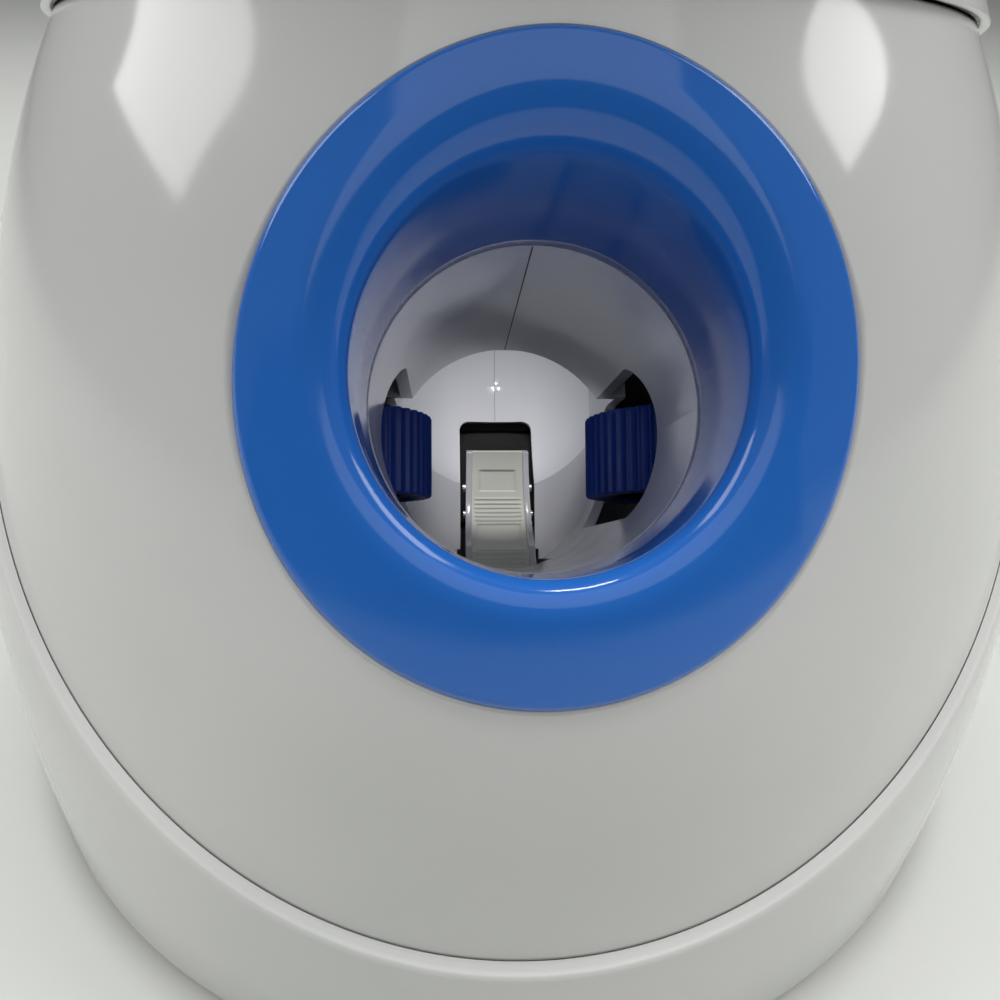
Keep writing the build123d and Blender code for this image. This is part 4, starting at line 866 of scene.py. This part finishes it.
def lamp(name, place, aim, size, power, size_y=None):
    """A soft rectangular lamp aimed at a place, in metres and watts."""
    light = bpy.data.lights.new(name, "AREA")
    light.energy = power
    light.shape = "RECTANGLE"
    light.size = size
    light.size_y = size_y or size
    made = bpy.data.objects.new(name, light)
    made.location = place
    direction = np.array(aim, float) - np.array(place, float)
    made.rotation_euler = Vector(direction).to_track_quat("-Z", "Y").to_euler()
    bpy.context.scene.collection.objects.link(made)
    return made


def stage_sheet(name, corners, finish_name, grain, shades, rough):
    """A flat sheet through four corners in millimetres, with its own faintly mottled finish."""
    mesh = bpy.data.meshes.new(name)
    mesh.from_pydata((np.array(corners) * MM).tolist(), [], [(0, 1, 2, 3)])
    made = bpy.data.objects.new(name, mesh)
    bpy.context.scene.collection.objects.link(made)
    finish = Finish(finish_name)
    finish.tint(finish.noise(grain), *shades)
    finish.set(Roughness=rough)
    mesh.materials.append(finish.material)
    return made


def floor():
    """A large pale floor that the object stands on."""
    half = FLOOR_HALF
    corners = ((-half, -half, 0), (half, -half, 0), (half, half, 0), (-half, half, 0))
    shades = (srgb(192, 194, 189), srgb(198, 199, 195))
    stage_sheet("floor", corners, "pale floor", 3.0, shades, 0.75)


def dark_side():
    """An upright dark card before the object, that only reflections and bounced light meet: it stands for
    the room's dark side."""
    corners = ((-CARD_HALF, CARD_Y, 0), (CARD_HALF, CARD_Y, 0), (CARD_HALF, CARD_Y, CARD_HEIGHT),
               (-CARD_HALF, CARD_Y, CARD_HEIGHT))
    shades = (srgb(40, 42, 46), srgb(48, 50, 54))
    made = stage_sheet("dark card", corners, "dark card", 6.0, shades, 0.9)
    made.visible_camera = False
    made.visible_shadow = False


def world():
    """A plain soft sky, and white where the camera sees it."""
    made = bpy.data.worlds.new("studio")
    bpy.context.scene.world = made
    made.use_nodes = True
    tree = made.node_tree
    back = tree.nodes["Background"]
    back.inputs["Color"].default_value = (0.92, 0.93, 0.95, 1.0)
    path = tree.nodes.new("ShaderNodeLightPath")
    seen = tree.nodes.new("ShaderNodeMath")
    seen.operation = "MULTIPLY_ADD"
    seen.inputs[1].default_value = SKY_SEEN
    seen.inputs[2].default_value = SKY_LIGHT
    tree.links.new(path.outputs["Is Camera Ray"], seen.inputs[0])
    tree.links.new(seen.outputs["Value"], back.inputs["Strength"])


def camera():
    """The camera: turned by yaw, then down by pitch, then rolled."""
    cy, sy = np.cos(CAMERA_YAW), np.sin(CAMERA_YAW)
    right, ahead, up = np.array((cy, sy, 0.0)), np.array((-sy, cy, 0.0)), np.array((0.0, 0.0, 1.0))
    cp, sp = np.cos(CAMERA_PITCH), np.sin(CAMERA_PITCH)
    ahead, up = ahead * cp - up * sp, ahead * sp + up * cp
    cr, sr = np.cos(CAMERA_ROLL), np.sin(CAMERA_ROLL)
    right, up = right * cr + up * sr, -right * sr + up * cr
    data = bpy.data.cameras.new("camera")
    data.sensor_width = 36.0
    data.lens = CAMERA_LENS
    data.clip_start = CAMERA_NEAR
    made = bpy.data.objects.new("camera", data)
    matrix = np.eye(4)
    matrix[:3, 0], matrix[:3, 1], matrix[:3, 2] = right, up, -ahead
    matrix[:3, 3] = np.array(CAMERA_PLACE) * MM
    made.matrix_world = Matrix(matrix.tolist())
    bpy.context.scene.collection.objects.link(made)
    bpy.context.scene.camera = made


def lights():
    """One lamp overhead, a broad one high in front, and a window on each side."""
    lamp("overhead", (0.0, 0.03, 2.2), (0, 0.03, 0.1), 0.5, 27.0)
    lamp("front high", (0.05, -1.0, 1.0), (0, -0.1, 0.15), 1.3, 5.0)
    lamp("window right", (1.15, 0.0, 1.2), (0, -0.05, 0.15), 0.8, 13.5, 1.0)
    lamp("window left", (-1.25, 0.05, 1.1), (0, -0.05, 0.15), 0.8, 11.0, 1.0)


def main():
    bpy.context.scene.view_settings.view_transform = "Standard"
    made = [front_shell(), rear_housing(), hopper_collar(), hopper_bowl(), mouth_ring(), tyre(-1), tyre(1),
            pusher_face(), pusher_rail(-1), pusher_rail(1), slot_guard(), *barrel_seams()]
    dress(made)
    camera()
    world()
    lights()
    dark_side()
    floor()


main()
